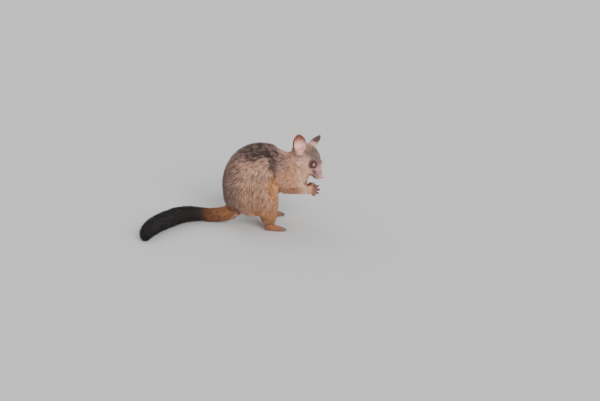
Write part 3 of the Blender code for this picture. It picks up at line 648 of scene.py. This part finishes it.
class Finish:
    """One material and its nodes."""

    def __init__(self, name):
        self.material = bpy.data.materials.new(name)
        self.material.use_nodes = True
        self.tree = self.material.node_tree
        self.shader = self.tree.nodes["Principled BSDF"]

    def node(self, kind, settings=None, values=None):
        made = self.tree.nodes.new(kind)
        for key, value in (settings or {}).items():
            setattr(made, key, value)
        for key, value in (values or {}).items():
            self.feed(made.inputs[key], value)
        return made

    def feed(self, socket, value):
        if isinstance(value, Wire):
            value = value.socket
        if isinstance(value, bpy.types.NodeSocket):
            self.tree.links.new(value, socket)
        else:
            socket.default_value = value

    def maths(self, operation, a, b):
        made = self.node("ShaderNodeMath", {"operation": operation}, {0: a, 1: b})
        return Wire(self, made.outputs[0])

    def places(self, scale=1.0, stretch=(1, 1, 1)):
        """The surface's own coordinates, scaled."""
        coordinates = self.node("ShaderNodeTexCoord").outputs["Object"]
        scales = tuple(scale * s for s in stretch)
        return self.node("ShaderNodeMapping", {}, {"Vector": coordinates, "Scale": scales}).outputs[0]

    def noise(self, scale, detail=2.0, stretch=(1, 1, 1)):
        values = {"Vector": self.places(1, stretch), "Scale": scale, "Detail": detail}
        return Wire(self, self.node("ShaderNodeTexNoise", {}, values).outputs[0])

    def coat(self):
        return self.node("ShaderNodeAttribute", {"attribute_name": "coat"}).outputs["Color"]

    def shaded(self, colour, tone):
        """A colour made lighter or darker by a number about 1."""
        grey = self.node("ShaderNodeCombineColor", {}, {"Red": tone, "Green": tone, "Blue": tone}).outputs[0]
        settings = {"data_type": "RGBA", "blend_type": "MULTIPLY"}
        return self.node("ShaderNodeMix", settings, {0: 1.0, 6: colour, 7: grey}).outputs[2]

    def bump(self, height, strength, distance):
        values = {"Height": height, "Strength": strength, "Distance": distance * MM}
        return self.node("ShaderNodeBump", {}, values).outputs[0]

    def set(self, **values):
        for key, value in values.items():
            self.feed(self.shader.inputs[key.replace("_", " ")], value)
        return self.material


def coat_finish():
    finish = Finish("coat_hair")
    tone = 0.9 + 0.2 * finish.noise(700)
    return finish.set(
        Base_Color=finish.shaded(finish.coat(), tone),
        Roughness=0.62,
        Specular_IOR_Level=0.28,
        Sheen_Weight=0.12,
        Sheen_Roughness=0.5,
    )


def skin_finish():
    """Skin with hair too short to stand up, which shows as fine streaks."""
    finish = Finish("short_haired_skin")
    streaks = finish.noise(900, 3)
    return finish.set(
        Base_Color=finish.shaded(finish.coat(), 0.78 + 0.4 * streaks),
        Roughness=0.68,
        Specular_IOR_Level=0.25,
        Sheen_Weight=0.15,
        Normal=finish.bump(streaks, 0.5, 0.4),
    )


def ear_finish():
    """Thin skin that light comes through, with fine veins and creases."""
    finish = Finish("ear_membrane")
    veins = finish.node("ShaderNodeTexVoronoi", {"feature": "DISTANCE_TO_EDGE"}, {"Scale": 130.0})
    finish.feed(veins.inputs["Vector"], finish.places())
    vein = finish.node("ShaderNodeMapRange", {}, {0: veins.outputs["Distance"], 1: 0.0, 2: 0.12, 3: 0.86, 4: 1.0})
    grain = finish.noise(1100, 3)
    tone = Wire(finish, vein.outputs[0]) * (0.86 + 0.26 * grain)
    return finish.set(
        Base_Color=finish.shaded(finish.coat(), tone),
        Roughness=0.55,
        Specular_IOR_Level=0.3,
        Subsurface_Weight=0.3,
        Subsurface_Radius=(0.004, 0.0015, 0.001),
        Subsurface_Scale=1.0,
        Normal=finish.bump(grain, 0.4, 0.25),
    )


def paw_finish():
    finish = Finish("paw_skin_fine")
    grain = finish.noise(1300, 3)
    return finish.set(
        Base_Color=finish.shaded(finish.coat(), 0.7 + 0.55 * grain),
        Roughness=0.6,
        Specular_IOR_Level=0.3,
        Subsurface_Weight=0.1,
        Subsurface_Radius=(0.002, 0.001, 0.0007),
        Subsurface_Scale=1.0,
        Normal=finish.bump(grain, 0.8, 0.5),
    )


def nose_finish():
    """Moist pink skin with a pebbled grain."""
    finish = Finish("moist_nose")
    pebbles = finish.node("ShaderNodeTexVoronoi", {"feature": "F1"}, {"Scale": 1400.0})
    finish.feed(pebbles.inputs["Vector"], finish.places())
    grain = Wire(finish, pebbles.outputs["Distance"])
    return finish.set(
        Base_Color=finish.shaded(finish.coat(), 0.85 + 0.25 * finish.noise(500)),
        Roughness=0.32,
        Specular_IOR_Level=0.5,
        Subsurface_Weight=0.15,
        Subsurface_Radius=(0.002, 0.001, 0.0007),
        Subsurface_Scale=1.0,
        Normal=finish.bump(1 - grain, 0.5, 0.2),
    )


def eye_finish():
    finish = Finish("wet_eye")
    return finish.set(
        Base_Color=finish.shaded(finish.coat(), 0.9 + 0.2 * finish.noise(600)),
        Roughness=0.12,
        Specular_IOR_Level=0.6,
        Coat_Weight=1.0,
        Coat_Roughness=0.03,
    )


def claw_finish():
    finish = Finish("dark_horn")
    grain = finish.noise(260, 3, (1, 6, 6))
    return finish.set(
        Base_Color=finish.shaded(finish.coat(), 0.6 + 0.8 * grain),
        Roughness=0.34,
        Specular_IOR_Level=0.5,
        Normal=finish.bump(grain, 0.3, 0.15),
    )


class Tufts:
    """Closed three-sided tufts that rise from the skin and bend over along the lie of the coat."""

    # Along a tuft: how far, how high of its rise, how wide
    SHAPES = {
        0: ((0, -0.15, 1), (1, 1, 0)),
        1: ((0, -0.1, 0.8), (0.42, 0.62, 1), (1, 1, 0)),
        2: ((0, -0.08, 0.75), (0.3, 0.5, 1), (0.68, 0.88, 0.72), (1, 1, 0)),
    }

    def __init__(self):
        self.points, self.triangles, self.colours, self.maps = [], [], [], []
        self.count = 0

    def add(self, bends, roots, normals, ways, lengths, widths, rises, sways, twists, colours, tips, pull, patches):
        """Adds one tuft at each root. tips is where its clump draws together, and pull how strongly."""
        shape = self.SHAPES[bends]
        sides = unit(np.cross(normals, ways))
        flat = sides * np.cos(twists)[:, None] + normals * np.sin(twists)[:, None]
        keel = normals * np.cos(twists)[:, None] - sides * np.sin(twists)[:, None]
        run = np.sqrt(np.maximum(lengths**2 - rises**2, (0.3 * lengths) ** 2))
        end = roots + ways * run[:, None] + normals * rises[:, None]
        drawn = (tips - end) * pull[:, None]
        rings = []
        for i, (along, up, wide) in enumerate(shape):
            middle = roots + ways * (run * along)[:, None] + normals * (rises * up)[:, None]
            middle = middle + (drawn + sides * (sways * lengths)[:, None]) * along * along
            half = (widths * wide / 2)[:, None]
            if i == len(shape) - 1:
                rings.append(middle[:, None])
            else:
                rings.append(np.stack([middle - flat * half, middle + flat * half, middle + keel * half * 0.8], 1))
        points = np.concatenate(rings, axis=1)
        points[:, :, 2] = np.maximum(points[:, :, 2], 0.25 * MM)
        each = points.shape[1]
        faces = []
        for r in range(len(shape) - 2):
            for k in range(3):
                a, b = 3 * r + k, 3 * r + (k + 1) % 3
                faces += [(a, b, b + 3), (a, b + 3, a + 3)]
        last = 3 * (len(shape) - 2)
        faces += [(last + k, last + (k + 1) % 3, each - 1) for k in range(3)]
        faces.append((0, 2, 1))
        starts = self.count + each * np.arange(len(roots))
        self.triangles.append((starts[:, None, None] + np.array(faces)[None]).reshape(-1, 3))
        self.points.append(points.reshape(-1, 3))
        at = np.array([k / (len(shape) - 1) for k in range(len(shape)) for _ in range(3)])[:each]
        across = np.array([k % 3 / 2 for k in range(each)])
        shades = colours[0][:, None] * (1 - at)[None, :, None] + colours[1][:, None] * at[None, :, None]
        self.colours.append(shades.reshape(-1, 3))
        spot = np.stack([at, across], axis=1) * PATCH
        self.maps.append((patches[:, None] + spot[None]).reshape(-1, 2))
        self.count += each * len(roots)

    def mesh(self, name):
        points, triangles = np.concatenate(self.points), np.concatenate(self.triangles)
        mesh = bpy.data.meshes.new(name)
        mesh.vertices.add(len(points))
        mesh.vertices.foreach_set("co", points.astype(np.float32).ravel())
        mesh.loops.add(triangles.size)
        mesh.loops.foreach_set("vertex_index", triangles.astype(np.int32).ravel())
        mesh.polygons.add(len(triangles))
        mesh.polygons.foreach_set("loop_start", np.arange(0, triangles.size, 3, dtype=np.int32))
        mesh.update(calc_edges=True)
        mesh.shade_smooth()
        write_colours(mesh, np.concatenate(self.colours))
        layer = mesh.uv_layers.new(name="OFBake")
        layer.data.foreach_set("uv", np.concatenate(self.maps)[triangles.ravel()].astype(np.float32).ravel())
        return mesh


PATCH = 0.003
chance = np.random.default_rng(11)


def unwrapped(points):
    """The skin's shape rolled out: round its long axis, and along it."""
    middle = points.mean(0)
    spread = points - middle
    axes = np.linalg.svd(spread[:: max(len(spread) // 2000, 1)], full_matrices=False)[2]
    along, first, second = (spread @ axis for axis in axes)
    around = np.arctan2(second, first) / math.tau + 0.5
    low, high = along.min(), along.max()
    return np.stack([0.01 + 0.97 * around, 0.01 + 0.97 * (along - low) / (high - low)], axis=1)


def scatter(mesh, density):
    """Random places on a mesh, so many to a square millimetre: points, normals."""
    mesh.calc_loop_triangles()
    corners = np.empty(len(mesh.loop_triangles) * 3, np.int32)
    mesh.loop_triangles.foreach_get("vertices", corners)
    corners = corners.reshape(-1, 3)
    points, normals = read_points(mesh), read_normals(mesh)
    a, b, c = (points[corners[:, k]] for k in range(3))
    area = np.linalg.norm(np.cross(b - a, c - a), axis=1) / 2 / MM**2
    middles = (a + b + c) / 3
    wanted = area * density(middles)
    count = np.floor(wanted + chance.random(len(wanted))).astype(int)
    face = np.repeat(np.arange(len(wanted)), count)
    u, v = chance.random(len(face)), chance.random(len(face))
    u, v = np.where(u + v > 1, 1 - u, u), np.where(u + v > 1, 1 - v, v)
    share = np.stack([1 - u - v, u, v], axis=1)[:, :, None]
    place = (points[corners[face]] * share).sum(1)
    return place, unit((normals[corners[face]] * share).sum(1))


def length_of(depths):
    """A hair's length where the coat is this deep."""
    return 1.3 * MM + 1.75 * depths


def width_of(lengths):
    return 0.14 * MM + 0.045 * lengths


def coat_density(cover):
    """Tufts to a square millimetre so that they lie this many deep, more on the tail."""

    def density(points):
        _, depths = LIE.read(points)
        lengths = length_of(depths)
        x, _, z = from_seat(points).T
        brush = 1 + 0.8 * step(-70, -130, x) + 0.45 * step(94, 106, x) * step(134, 122, z)
        return brush * cover / (0.55 * width_of(lengths) * lengths / MM**2)

    return density


class Roots:
    """The places that hair grows from, with the skin's normal, the coat's lie and its depth at each."""

    def __init__(self, points, normals, read=None):
        self.points, self.normals = points, normals
        self.ways, self.depths = read or LIE.read(points)

    def only(self, keep):
        return Roots(self.points[keep], self.normals[keep], (self.ways[keep], self.depths[keep]))


def planted(mesh, cover):
    return Roots(*scatter(mesh, coat_density(cover)))


def owners(points, names):
    """Which of these nodes each point is nearest to."""
    rows = [(v.co, i) for i, name in enumerate(names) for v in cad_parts[name].data.vertices]
    tree = KDTree(len(rows))
    for i, (place, _) in enumerate(rows):
        tree.insert(place, i)
    tree.balance()
    return np.array([rows[tree.find(place)[1]][1] for place in points])


def clumps(points, ends, apart):
    """For each root, its clump's leading tuft: about one lead to each patch so many metres across."""
    cells = np.floor(points / apart).astype(np.int64)
    key = cells[:, 0] * 73856093 ^ cells[:, 1] * 19349663 ^ cells[:, 2] * 83492791
    _, first = np.unique(key, return_index=True)
    tree = KDTree(len(first))
    for i in first:
        tree.insert(points[i], i)
    tree.balance()
    lead = np.array([tree.find(place)[1] for place in points])
    return lead, ends[lead]


def buried(points, mesh, deeper):
    """Which points lie inside a closed mesh by more than this."""
    tree = BVHTree.FromPolygons([v.co for v in mesh.vertices], [p.vertices for p in mesh.polygons])
    inside = []
    for point in points:
        place, normal, _, _ = tree.find_nearest(point)
        inside.append((Vector(point) - place).dot(normal) < -deeper)
    return np.array(inside)


def grow_coat(name, slot, roots, colours, dark=0.02, streaks=0.0):
    """One piece of the coat, with a tuft at each root. dark is the share of dark guard hairs, streaks of dark clumps."""
    points, normals, depths = roots.points, roots.normals, roots.depths
    count = len(points)
    ways = unit(roots.ways - normals * dot(roots.ways, normals))
    stray = np.stack([lattice_noise(points, 0.016, seed) for seed in (1, 2, 3)], axis=1)
    ways = unit(ways + 0.22 * (stray - normals * dot(stray, normals)) + 0.1 * chance.normal(size=points.shape))
    ways = unit(ways - normals * dot(ways, normals))
    brush = step(-70, -130, (points[:, 0] - SEAT.x) / MM)
    lengths = length_of(depths) * chance.uniform(0.75, 1.2, count)
    widths = width_of(lengths) * chance.uniform(0.8, 1.25, count) * (1 - 0.3 * brush)
    rises = depths * chance.uniform(0.75, 1.08, count) * (1 - 0.15 * brush) + 0.1 * MM
    rises = np.minimum(rises, lengths * 0.8)
    stray_up = (chance.random(count) < 0.04) & (from_seat(points)[:, 2] > 120) & (lengths > 6 * MM)
    rises = np.where(stray_up, rises * 1.3, rises)
    ends = points + ways * lengths[:, None] * 0.9 + normals * rises[:, None]
    lead, tips = clumps(points, ends, 0.007)
    long = np.clip(lengths / MM / 12, 0.35, 1)
    lock, _ = clumps(points, ends, 0.0022 + 0.0022 * long.mean())
    pull = np.clip((lengths / MM - 4) / 14, 0, 1) * chance.uniform(0.1, 0.55, count)
    sways = 0.1 * lattice_noise(points, 0.01, 4) + chance.normal(0, 0.06, count)
    twists = chance.normal(0, 0.5, count)
    fleck = 0.26 * chance.normal(size=count)[lock] + 0.08 * chance.normal(size=count)[lead]
    fleck = fleck - 0.4 * (chance.random(count)[lock] < 0.1)
    fleck = fleck * long + 0.12 * lattice_noise(points, 0.008, 6)
    tone = np.clip(1 + chance.normal(0, 0.14, count) + fleck, 0.45, 1.6)[:, None]
    # Roots darker than tips: partly the hair's own darker base, partly painted shade deep in the coat, kept lighter on
    # short and pale hair
    pale = step(0.5, 0.85, colours.max(axis=1))
    base = colours * tone * (0.72 + 0.16 * step(5 * MM, 2 * MM, lengths) + 0.12 * pale)[:, None]
    tip = colours * tone * 1.16
    tip = tip / np.maximum(tip.max(axis=1, keepdims=True) / 0.95, 1)
    guard = (chance.random(count) < dark) | (chance.random(count)[lead] < streaks)
    base = np.where(guard[:, None], base * 0.5, base)
    tip = np.where(guard[:, None], tip * 0.18, tip)
    patches = unwrapped(points)
    tufts = Tufts()
    bends = np.where(lengths < 5.5 * MM, 0, np.where(lengths < 21 * MM, 1, 2))
    for bend in (0, 1, 2):
        own = bends == bend
        if own.any():
            tufts.add(
                bend, points[own], normals[own], ways[own], lengths[own], widths[own], rises[own], sways[own],
                twists[own], (base[own], tip[own]), tips[own], pull[own], patches[own],
            )
    piece = new_piece(name, tufts.mesh(name), slot)
    piece.data.materials.append(COAT)
    return piece


SLOTS = {
    "torso": "grey_coat",
    "neck": "pale_coat",
    "head": "pale_coat",
    "foreleg": "tawny_coat",
    "hindleg": "tawny_coat",
    "tail_base": "rust_coat",
    "tail": "black_coat",
    "hand": "paw_skin",
    "foot": "paw_skin",
    "ear": "ear_skin",
}


def slot_of(name):
    return next(slot for start, slot in SLOTS.items() if name.startswith(start))


def dress_body():
    """The body's skin, in one piece that stands for all the nodes under it. Gives the skin's mesh."""
    mesh = body_skin()
    names = [*FLESH, *TAIL_PARTS]
    skin = new_piece("skin_body", mesh, "grey_coat", *names)
    skin.data.materials.append(SKIN)
    return mesh


def body_coat(body, head, paws):
    names = [*FLESH, *TAIL_PARTS]
    roots = planted(body, 3.5)
    keep = from_skull(roots.points) > 0.7
    for part in (head, *paws):
        points = read_points(part)
        inside = (roots.points > points.min(0)).all(1) & (roots.points < points.max(0)).all(1)
        near = np.flatnonzero(inside)
        keep[near] &= ~buried(roots.points[near], part, 0.8 * MM)
    roots = roots.only(keep)
    outside = roots.points + roots.normals * roots.depths[:, None]
    owner = owners(outside, names)
    colours = body_colours(outside)
    x, y, z = from_seat(outside).T
    back = step(184, 206, z) * step(-44, -14, x) * step(88, 62, x)
    dark = 0.09 + 0.1 * back + 0.08 * step(30, -30, x) * step(60, 90, z) + 0.05 * step(120, 150, z) * step(100, 80, x)
    dark = np.where((x > 100) | (z < 60), 0.02, dark)
    streaks = 0.5 * back
    for i, name in enumerate(names):
        parts = {"": owner == i}
        if name == "torso":
            parts = {"_right": (owner == i) & (y < 0), "_left": (owner == i) & (y >= 0)}
        for ending, own in parts.items():
            rest = (roots.only(own), colours[own], dark[own], streaks[own])
            grow_coat("coat_" + name + ending, slot_of(name), *rest)


def dress_head():
    mesh = head_skin()
    skin = new_piece("skin_head", mesh, "pale_coat", "head")
    skin.data.materials.append(SKIN)
    return mesh


def away_from_eyes(roots):
    """The lie of the head's hair, turned behind each eye so that it runs away from the lids."""
    places = in_head(roots.points)
    side = np.where(places[:, 1:2] < 0, -1, 1) * np.array((0, 1, 0)) + np.array((1, 0, 1))
    look = unit(np.array(EYE_LOOK))
    away = places * side - np.array(EYE_CENTRE)
    away = unit(away - dot(away, look) * look) * side @ TO_WORLD.T
    share = 2 * step(16, 10, from_eye(roots.points)) * step(-32, -42, places[:, 0])
    return unit(roots.ways + away * share[:, None])


def head_coat(head, body):
    roots = planted(head, 3.3)
    roots.ways = away_from_eyes(roots)
    places = in_head(roots.points)
    nose = np.linalg.norm(places - np.array([-3, 0, 0.5]), axis=1)
    keep = (from_eye(roots.points) > HAIRLESS_ROUND_EYE) & (nose > 6.2) & ~buried(roots.points, body, 1.5 * MM)
    side = places[:, 1]
    for ending, own in (("_right", keep & (side < 0)), ("_left", keep & (side >= 0))):
        some = roots.only(own)
        nape = step(-64, -92, in_head(some.points)[:, 0])[:, None]
        colours = head_colours(some.points) * (1 - nape) + body_colours(some.points) * nape
        grow_coat("coat_head" + ending, "pale_coat", some, colours, 0.05)


def dress_ears():
    for side, _ in SIDES:
        name = "ear_" + side
        mesh = fine_skin(name, 0.8, 5)
        write_colours(mesh, ear_colours(read_points(mesh), read_normals(mesh), side))
        cup = new_piece("cup_" + name, mesh, "ear_skin", name)
        cup.data.materials.append(EAR)
        roots = planted(mesh, 1.6)
        along, inward = in_ear(roots.points, roots.normals, side)
        roots = roots.only(chance.random(len(inward)) > 0.9 * step(-0.1, 0.35, inward) * step(2, 14, along))
        grow_coat("coat_" + name, "ear_skin", roots, ear_colours(roots.points, roots.normals, side))


def dress_paws(body):
    """The paws' bare skin and short hair. Gives their meshes."""
    meshes = []
    for name in PAW_LINES:
        mesh = fine_skin(name, 0.7, 2)
        points, normals = read_points(mesh), read_normals(mesh)
        near, pads = from_claw(points, name), step(0.1, 0.7, under_paw(normals, name))
        swell = 0.6 * pads * np.exp(-(((near - 5.5) / 2.6) ** 2)) - 0.3 * creases(near)
        swell = swell + 0.12 * lattice_noise(points, 0.0016, 12) + 0.1 * pads * lattice_noise(points, 0.0045, 13)
        swell = swell * step(1.5, 3.5, points[:, 2] / MM)
        write_points(mesh, narrowed(points + normals * swell[:, None] * MM, name))
        write_colours(mesh, paw_colours(points, normals, name))
        paw = new_piece("skin_" + name, mesh, "paw_skin", name)
        paw.data.materials.append(PAW_SKIN)
        roots = planted(mesh, 2.0)
        reach = 14 if name.startswith("hand") else 54
        along, under = on_paw(roots.points, name), under_paw(roots.normals, name)
        bare = step(-0.2, 0.3, under) + 0.5 * step(reach - 8, reach + 4, along)
        bare = bare + step(8.5, 5, from_claw(roots.points, name))
        roots = roots.only((bare < chance.random(len(along))) & ~buried(roots.points, body, 0.0))
        grow_coat("coat_" + name, "paw_skin", roots, paw_colours(roots.points, roots.normals, name))
        meshes.append(mesh)
    return meshes


def dress_nose():
    """A moist round pad with two comma-shaped nostrils and a groove between them."""
    mesh = fine_skin("nose_pad", 0.4, 2, 0.3)
    points = read_points(mesh)
    places = in_head(points)
    rim = np.linalg.norm(places[:, 1:] - np.array((0, 1.4)), axis=1)
    points = points - TO_WORLD @ np.array((1, 0, 0)) * (2.4 * step(1.5, 7.5, rim) * HEAD_SCALE * MM)[:, None]
    side = np.stack([places[:, 0], np.abs(places[:, 1]), places[:, 2]], axis=1)
    hole = blob(side, (-0.4, 2.9, 1.2), (4, 1.9, 1.7))
    slit = blob(side, (-1.8, 4.6, 2.2), (3.5, 2.2, 0.9))
    groove = step(0.8, 0.1, side[:, 1]) * step(1.5, -0.5, side[:, 2]) * step(-5, -3, side[:, 0])
    deep = np.maximum(hole * 1.6, slit * 1.2) + groove * 0.5
    inward = TO_WORLD @ np.array((-1, 0, 0)) * HEAD_SCALE * MM
    write_points(mesh, points + deep[:, None] * inward)
    # Painted shade: the nostrils nearly black and the groove between them darker, for the shade inside them
    colours = paint(np.tile(linear(PINK), (len(points), 1)), (60, 24, 26), np.maximum(hole, slit) * 0.95)
    write_colours(mesh, paint(colours, LIP, groove * 0.6))
    pad = new_piece("nose", mesh, "nose_skin", "nose_pad")
    pad.data.materials.append(NOSE_SKIN)


def eye_frame(sign):
    """Where an eye looks: +X out of the eye, +Z towards the brow."""
    x, y, z = EYE_CENTRE
    ahead = Vector((EYE_LOOK[0], EYE_LOOK[1] * sign, EYE_LOOK[2])).normalized()
    aside = Vector((0.1, 0, 1)).cross(ahead).normalized()
    turn = TURN @ Matrix((ahead, aside, ahead.cross(aside))).transposed()
    place = Matrix.Translation(head_place(x, y * sign, z)) @ turn.to_4x4()
    return place @ Matrix.Scale(HEAD_SCALE * MM, 4)


def add_lids(bm, place):
    """Two lids in one band that lies on the ball and parts in an almond."""
    bend = (LID_HALF**2 + LID_TALL**2) / (2 * LID_TALL)
    over = EYE_RADIUS + 0.75
    rings = []
    for share, ball in ((0, EYE_RADIUS + 0.1), (0, over - 0.3), (0.06, over), (0.35, over), (0.7, over), (1, over), (1, over - 1), (0.3, EYE_RADIUS)):
        ring = bmesh.ops.create_circle(bm, segments=56, radius=1)["verts"]
        for v in ring:
            way = v.co.normalized()
            drop = (bend - LID_TALL) * abs(way.y)
            inner = math.sqrt(drop**2 + bend**2 - (bend - LID_TALL) ** 2) - drop
            reach = inner + (over - 0.7 - inner) * share
            v.co = (math.sqrt(max(ball**2 - reach**2, 0.2)), way.x * reach, way.y * reach)
        rings.append((ring, list({e for v in ring for e in v.link_edges})))
    for (_, lower), (_, upper) in zip(rings, rings[1:] + rings[:1]):
        bmesh.ops.bridge_loops(bm, edges=lower + upper)
    bmesh.ops.transform(bm, matrix=place, verts=bm.verts)
    bmesh.ops.recalc_face_normals(bm, faces=bm.faces)


def mesh_of(bm, name):
    mesh = bpy.data.meshes.new(name)
    bm.to_mesh(mesh)
    bm.free()
    mesh.shade_smooth()
    return mesh


def dress_eyes():
    """Glossy balls, a wide pupil painted a dull pink as a painted reflection of light from the back of the eye, a dark
    brown iris round it, and dark lids.
    """
    for side, sign in SIDES:
        name = "eye_" + side
        place = eye_frame(sign)
        bm = bmesh.new()
        look = Matrix.Rotation(math.radians(90), 4, "Y")
        bmesh.ops.create_uvsphere(bm, u_segments=64, v_segments=48, radius=EYE_RADIUS, matrix=place @ look)
        mesh = mesh_of(bm, "ball_" + name)
        ahead = np.array(place.to_3x3() @ Vector((1, 0, 0)))
        facing = (read_points(mesh) - np.array(place.translation)) @ ahead / (ahead @ ahead) / EYE_RADIUS
        colours = np.tile(linear((34, 20, 18)), (len(facing), 1))
        colours = paint(colours, (84, 46, 38), step(0.68, 0.88, facing))
        # Painted reflection: the pupil's dull pink stands for light given back from the back of the eye
        colours = paint(colours, (152, 100, 90), step(0.87, 0.98, facing))
        write_colours(mesh, colours)
        ball = new_piece("ball_" + name, mesh, "eye", name)
        ball.data.materials.append(EYE)
        bm = bmesh.new()
        add_lids(bm, place)
        mesh = mesh_of(bm, "lids_" + side)
        write_colours(mesh, np.tile(linear(LID), (len(mesh.vertices), 1)))
        lids = new_piece("lids_" + side, mesh, "nose_skin")
        lids.data.materials.append(NOSE_SKIN)


# Whiskers of one side: root in the head's frame, the way it starts, the way it ends, and its length
WHISKERS = [
    ((-10, 8, 1), (0.25, 0.9, 0.1), (-0.5, 0.75, -0.1), 26),
    ((-12, 9, -1.5), (0.15, 0.95, 0), (-0.6, 0.7, -0.25), 32),
    ((-13, 9, -4), (0.1, 0.95, -0.2), (-0.6, 0.6, -0.5), 30),
    ((-16, 10, 2), (0.05, 0.95, 0.2), (-0.7, 0.65, 0.1), 38),
    ((-17, 10.5, -1), (0, 1, 0), (-0.75, 0.6, -0.15), 44),
    ((-18, 10.5, -4), (0, 0.95, -0.25), (-0.75, 0.5, -0.4), 40),
    ((-21, 12, 1.5), (-0.1, 0.95, 0.2), (-0.85, 0.5, 0.05), 46),
    ((-22, 12.5, -1.5), (-0.1, 1, 0), (-0.85, 0.45, -0.2), 48),
    ((-23, 12.5, -4.5), (-0.1, 0.95, -0.3), (-0.85, 0.4, -0.4), 42),
    ((-33, 14, 24), (0.1, 0.5, 0.85), (-0.75, 0.4, 0.5), 26),
    ((-36, 15.5, 25), (0, 0.5, 0.85), (-0.85, 0.35, 0.4), 22),
    ((-52, 30, -4), (-0.2, 0.95, -0.2), (-0.9, 0.4, -0.3), 30),
    ((-54, 30, -7), (-0.2, 0.9, -0.4), (-0.85, 0.35, -0.5), 26),
]


def dress_whiskers(head):
    """Long stiff hairs on muzzle, brow and cheek that sweep back."""
    tree = BVHTree.FromPolygons([v.co for v in head.vertices], [p.vertices for p in head.polygons])
    for side, sign in SIDES:
        bm = bmesh.new()
        for (x, y, z), start, end, length in WHISKERS:
            root = tree.find_nearest(head_place(x, y * sign, z))[0]
            first, last = (Vector((a, b * sign, c)).normalized() for a, b, c in (start, end))
            place = root - TURN @ first * 1.5 * MM
            rows = []
            for share in np.linspace(0, 1, 9):
                rows.append(np.array([*place, (0.2 - 0.15 * share) * MM]))
                place = place + TURN @ first.lerp(last, share).normalized() * length / 8 * MM
            add_tube(bm, rows, 5)
        mesh = mesh_of(bm, "whiskers_" + side)
        write_colours(mesh, np.tile(linear((74, 56, 50)), (len(mesh.vertices), 1)))
        hairs = new_piece("whiskers_" + side, mesh, "black_coat")
        hairs.data.materials.append(COAT)


def dress_claws():
    """Each claw's solid made round and dark."""
    for name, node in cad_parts.items():
        if not name.startswith("claw_"):
            continue
        bm = bmesh.new()
        copy_shell(bm, name, 0.12 * MM)
        mesh = bpy.data.meshes.new(name)
        bm.to_mesh(mesh)
        bm.free()
        mesh = evaluated(mesh, ("SUBSURF", {"levels": 2, "render_levels": 2}))
        mesh.shade_smooth()
        write_colours(mesh, np.tile(linear((62, 48, 44)), (len(mesh.vertices), 1)))
        nail = new_piece("nail_" + name[5:], mesh, "claw", name)
        nail.data.materials.append(CLAW)


def set_stage():
    """A pale floor and soft studio light, strongest from beside the view."""
    bm = bmesh.new()
    bmesh.ops.create_circle(bm, cap_ends=True, segments=96, radius=40)
    floor = bpy.data.objects.new("floor", mesh_of(bm, "floor"))
    bpy.context.scene.collection.objects.link(floor)
    finish = Finish("pale_floor")
    floor.data.materials.append(finish.set(Base_Color=(0.56, 0.555, 0.545, 1), Roughness=0.9))
    world = bpy.data.worlds.new("studio")
    world.use_nodes = True
    world.node_tree.nodes["Background"].inputs["Color"].default_value = (0.97, 0.98, 1, 1)
    world.node_tree.nodes["Background"].inputs["Strength"].default_value = 0.75
    bpy.context.scene.world = world
    lamps = (
        ("key", (0.38, -1.0, 0.56), 30, 3.85),
        ("rim", (-0.5, 1.0, 0.9), 40, 0.7),
    )
    for name, place, spread, power in lamps:
        light = bpy.data.lights.new(name, "SUN")
        light.angle = math.radians(spread)
        light.energy = power
        lamp = bpy.data.objects.new(name, light)
        bpy.context.scene.collection.objects.link(lamp)
        lamp.location = place
        lamp.rotation_euler = (-lamp.location).to_track_quat("-Z", "Y").to_euler()


# The view: how far off, how high, the size of a pixel at the possum, and the seat's place in the picture
VIEW_FAR, VIEW_UP, PIXEL = 3.0, math.radians(18), 2.8 * MM
PICTURE_WIDE, PICTURE_HIGH = 600, 401
SEAT_ACROSS, SEAT_DOWN = 250, 223


def set_camera():
    data = bpy.data.cameras.new("view")
    far = VIEW_FAR / PIXEL
    data.sensor_width = 36
    data.lens = data.sensor_width * far / PICTURE_WIDE
    camera = bpy.data.objects.new("view", data)
    bpy.context.scene.collection.objects.link(camera)
    camera.location = SEAT + Vector((0, -math.cos(VIEW_UP), math.sin(VIEW_UP))) * VIEW_FAR
    pitch = VIEW_UP - math.atan((SEAT_DOWN - PICTURE_HIGH / 2) / far)
    yaw = math.atan((PICTURE_WIDE / 2 - SEAT_ACROSS) / far)
    ahead = Vector((math.sin(yaw) * math.cos(pitch), math.cos(yaw) * math.cos(pitch), -math.sin(pitch)))
    camera.rotation_euler = ahead.to_track_quat("-Z", "Y").to_euler()
    bpy.context.scene.camera = camera


COAT, SKIN, EAR = coat_finish(), skin_finish(), ear_finish()
PAW_SKIN, NOSE_SKIN, EYE, CLAW = paw_finish(), nose_finish(), eye_finish(), claw_finish()

set_camera()
set_stage()
body = dress_body()
head = dress_head()
paws = dress_paws(body)
body_coat(body, head, paws)
head_coat(head, body)
dress_ears()
dress_nose()
dress_eyes()
dress_whiskers(head)
dress_claws()
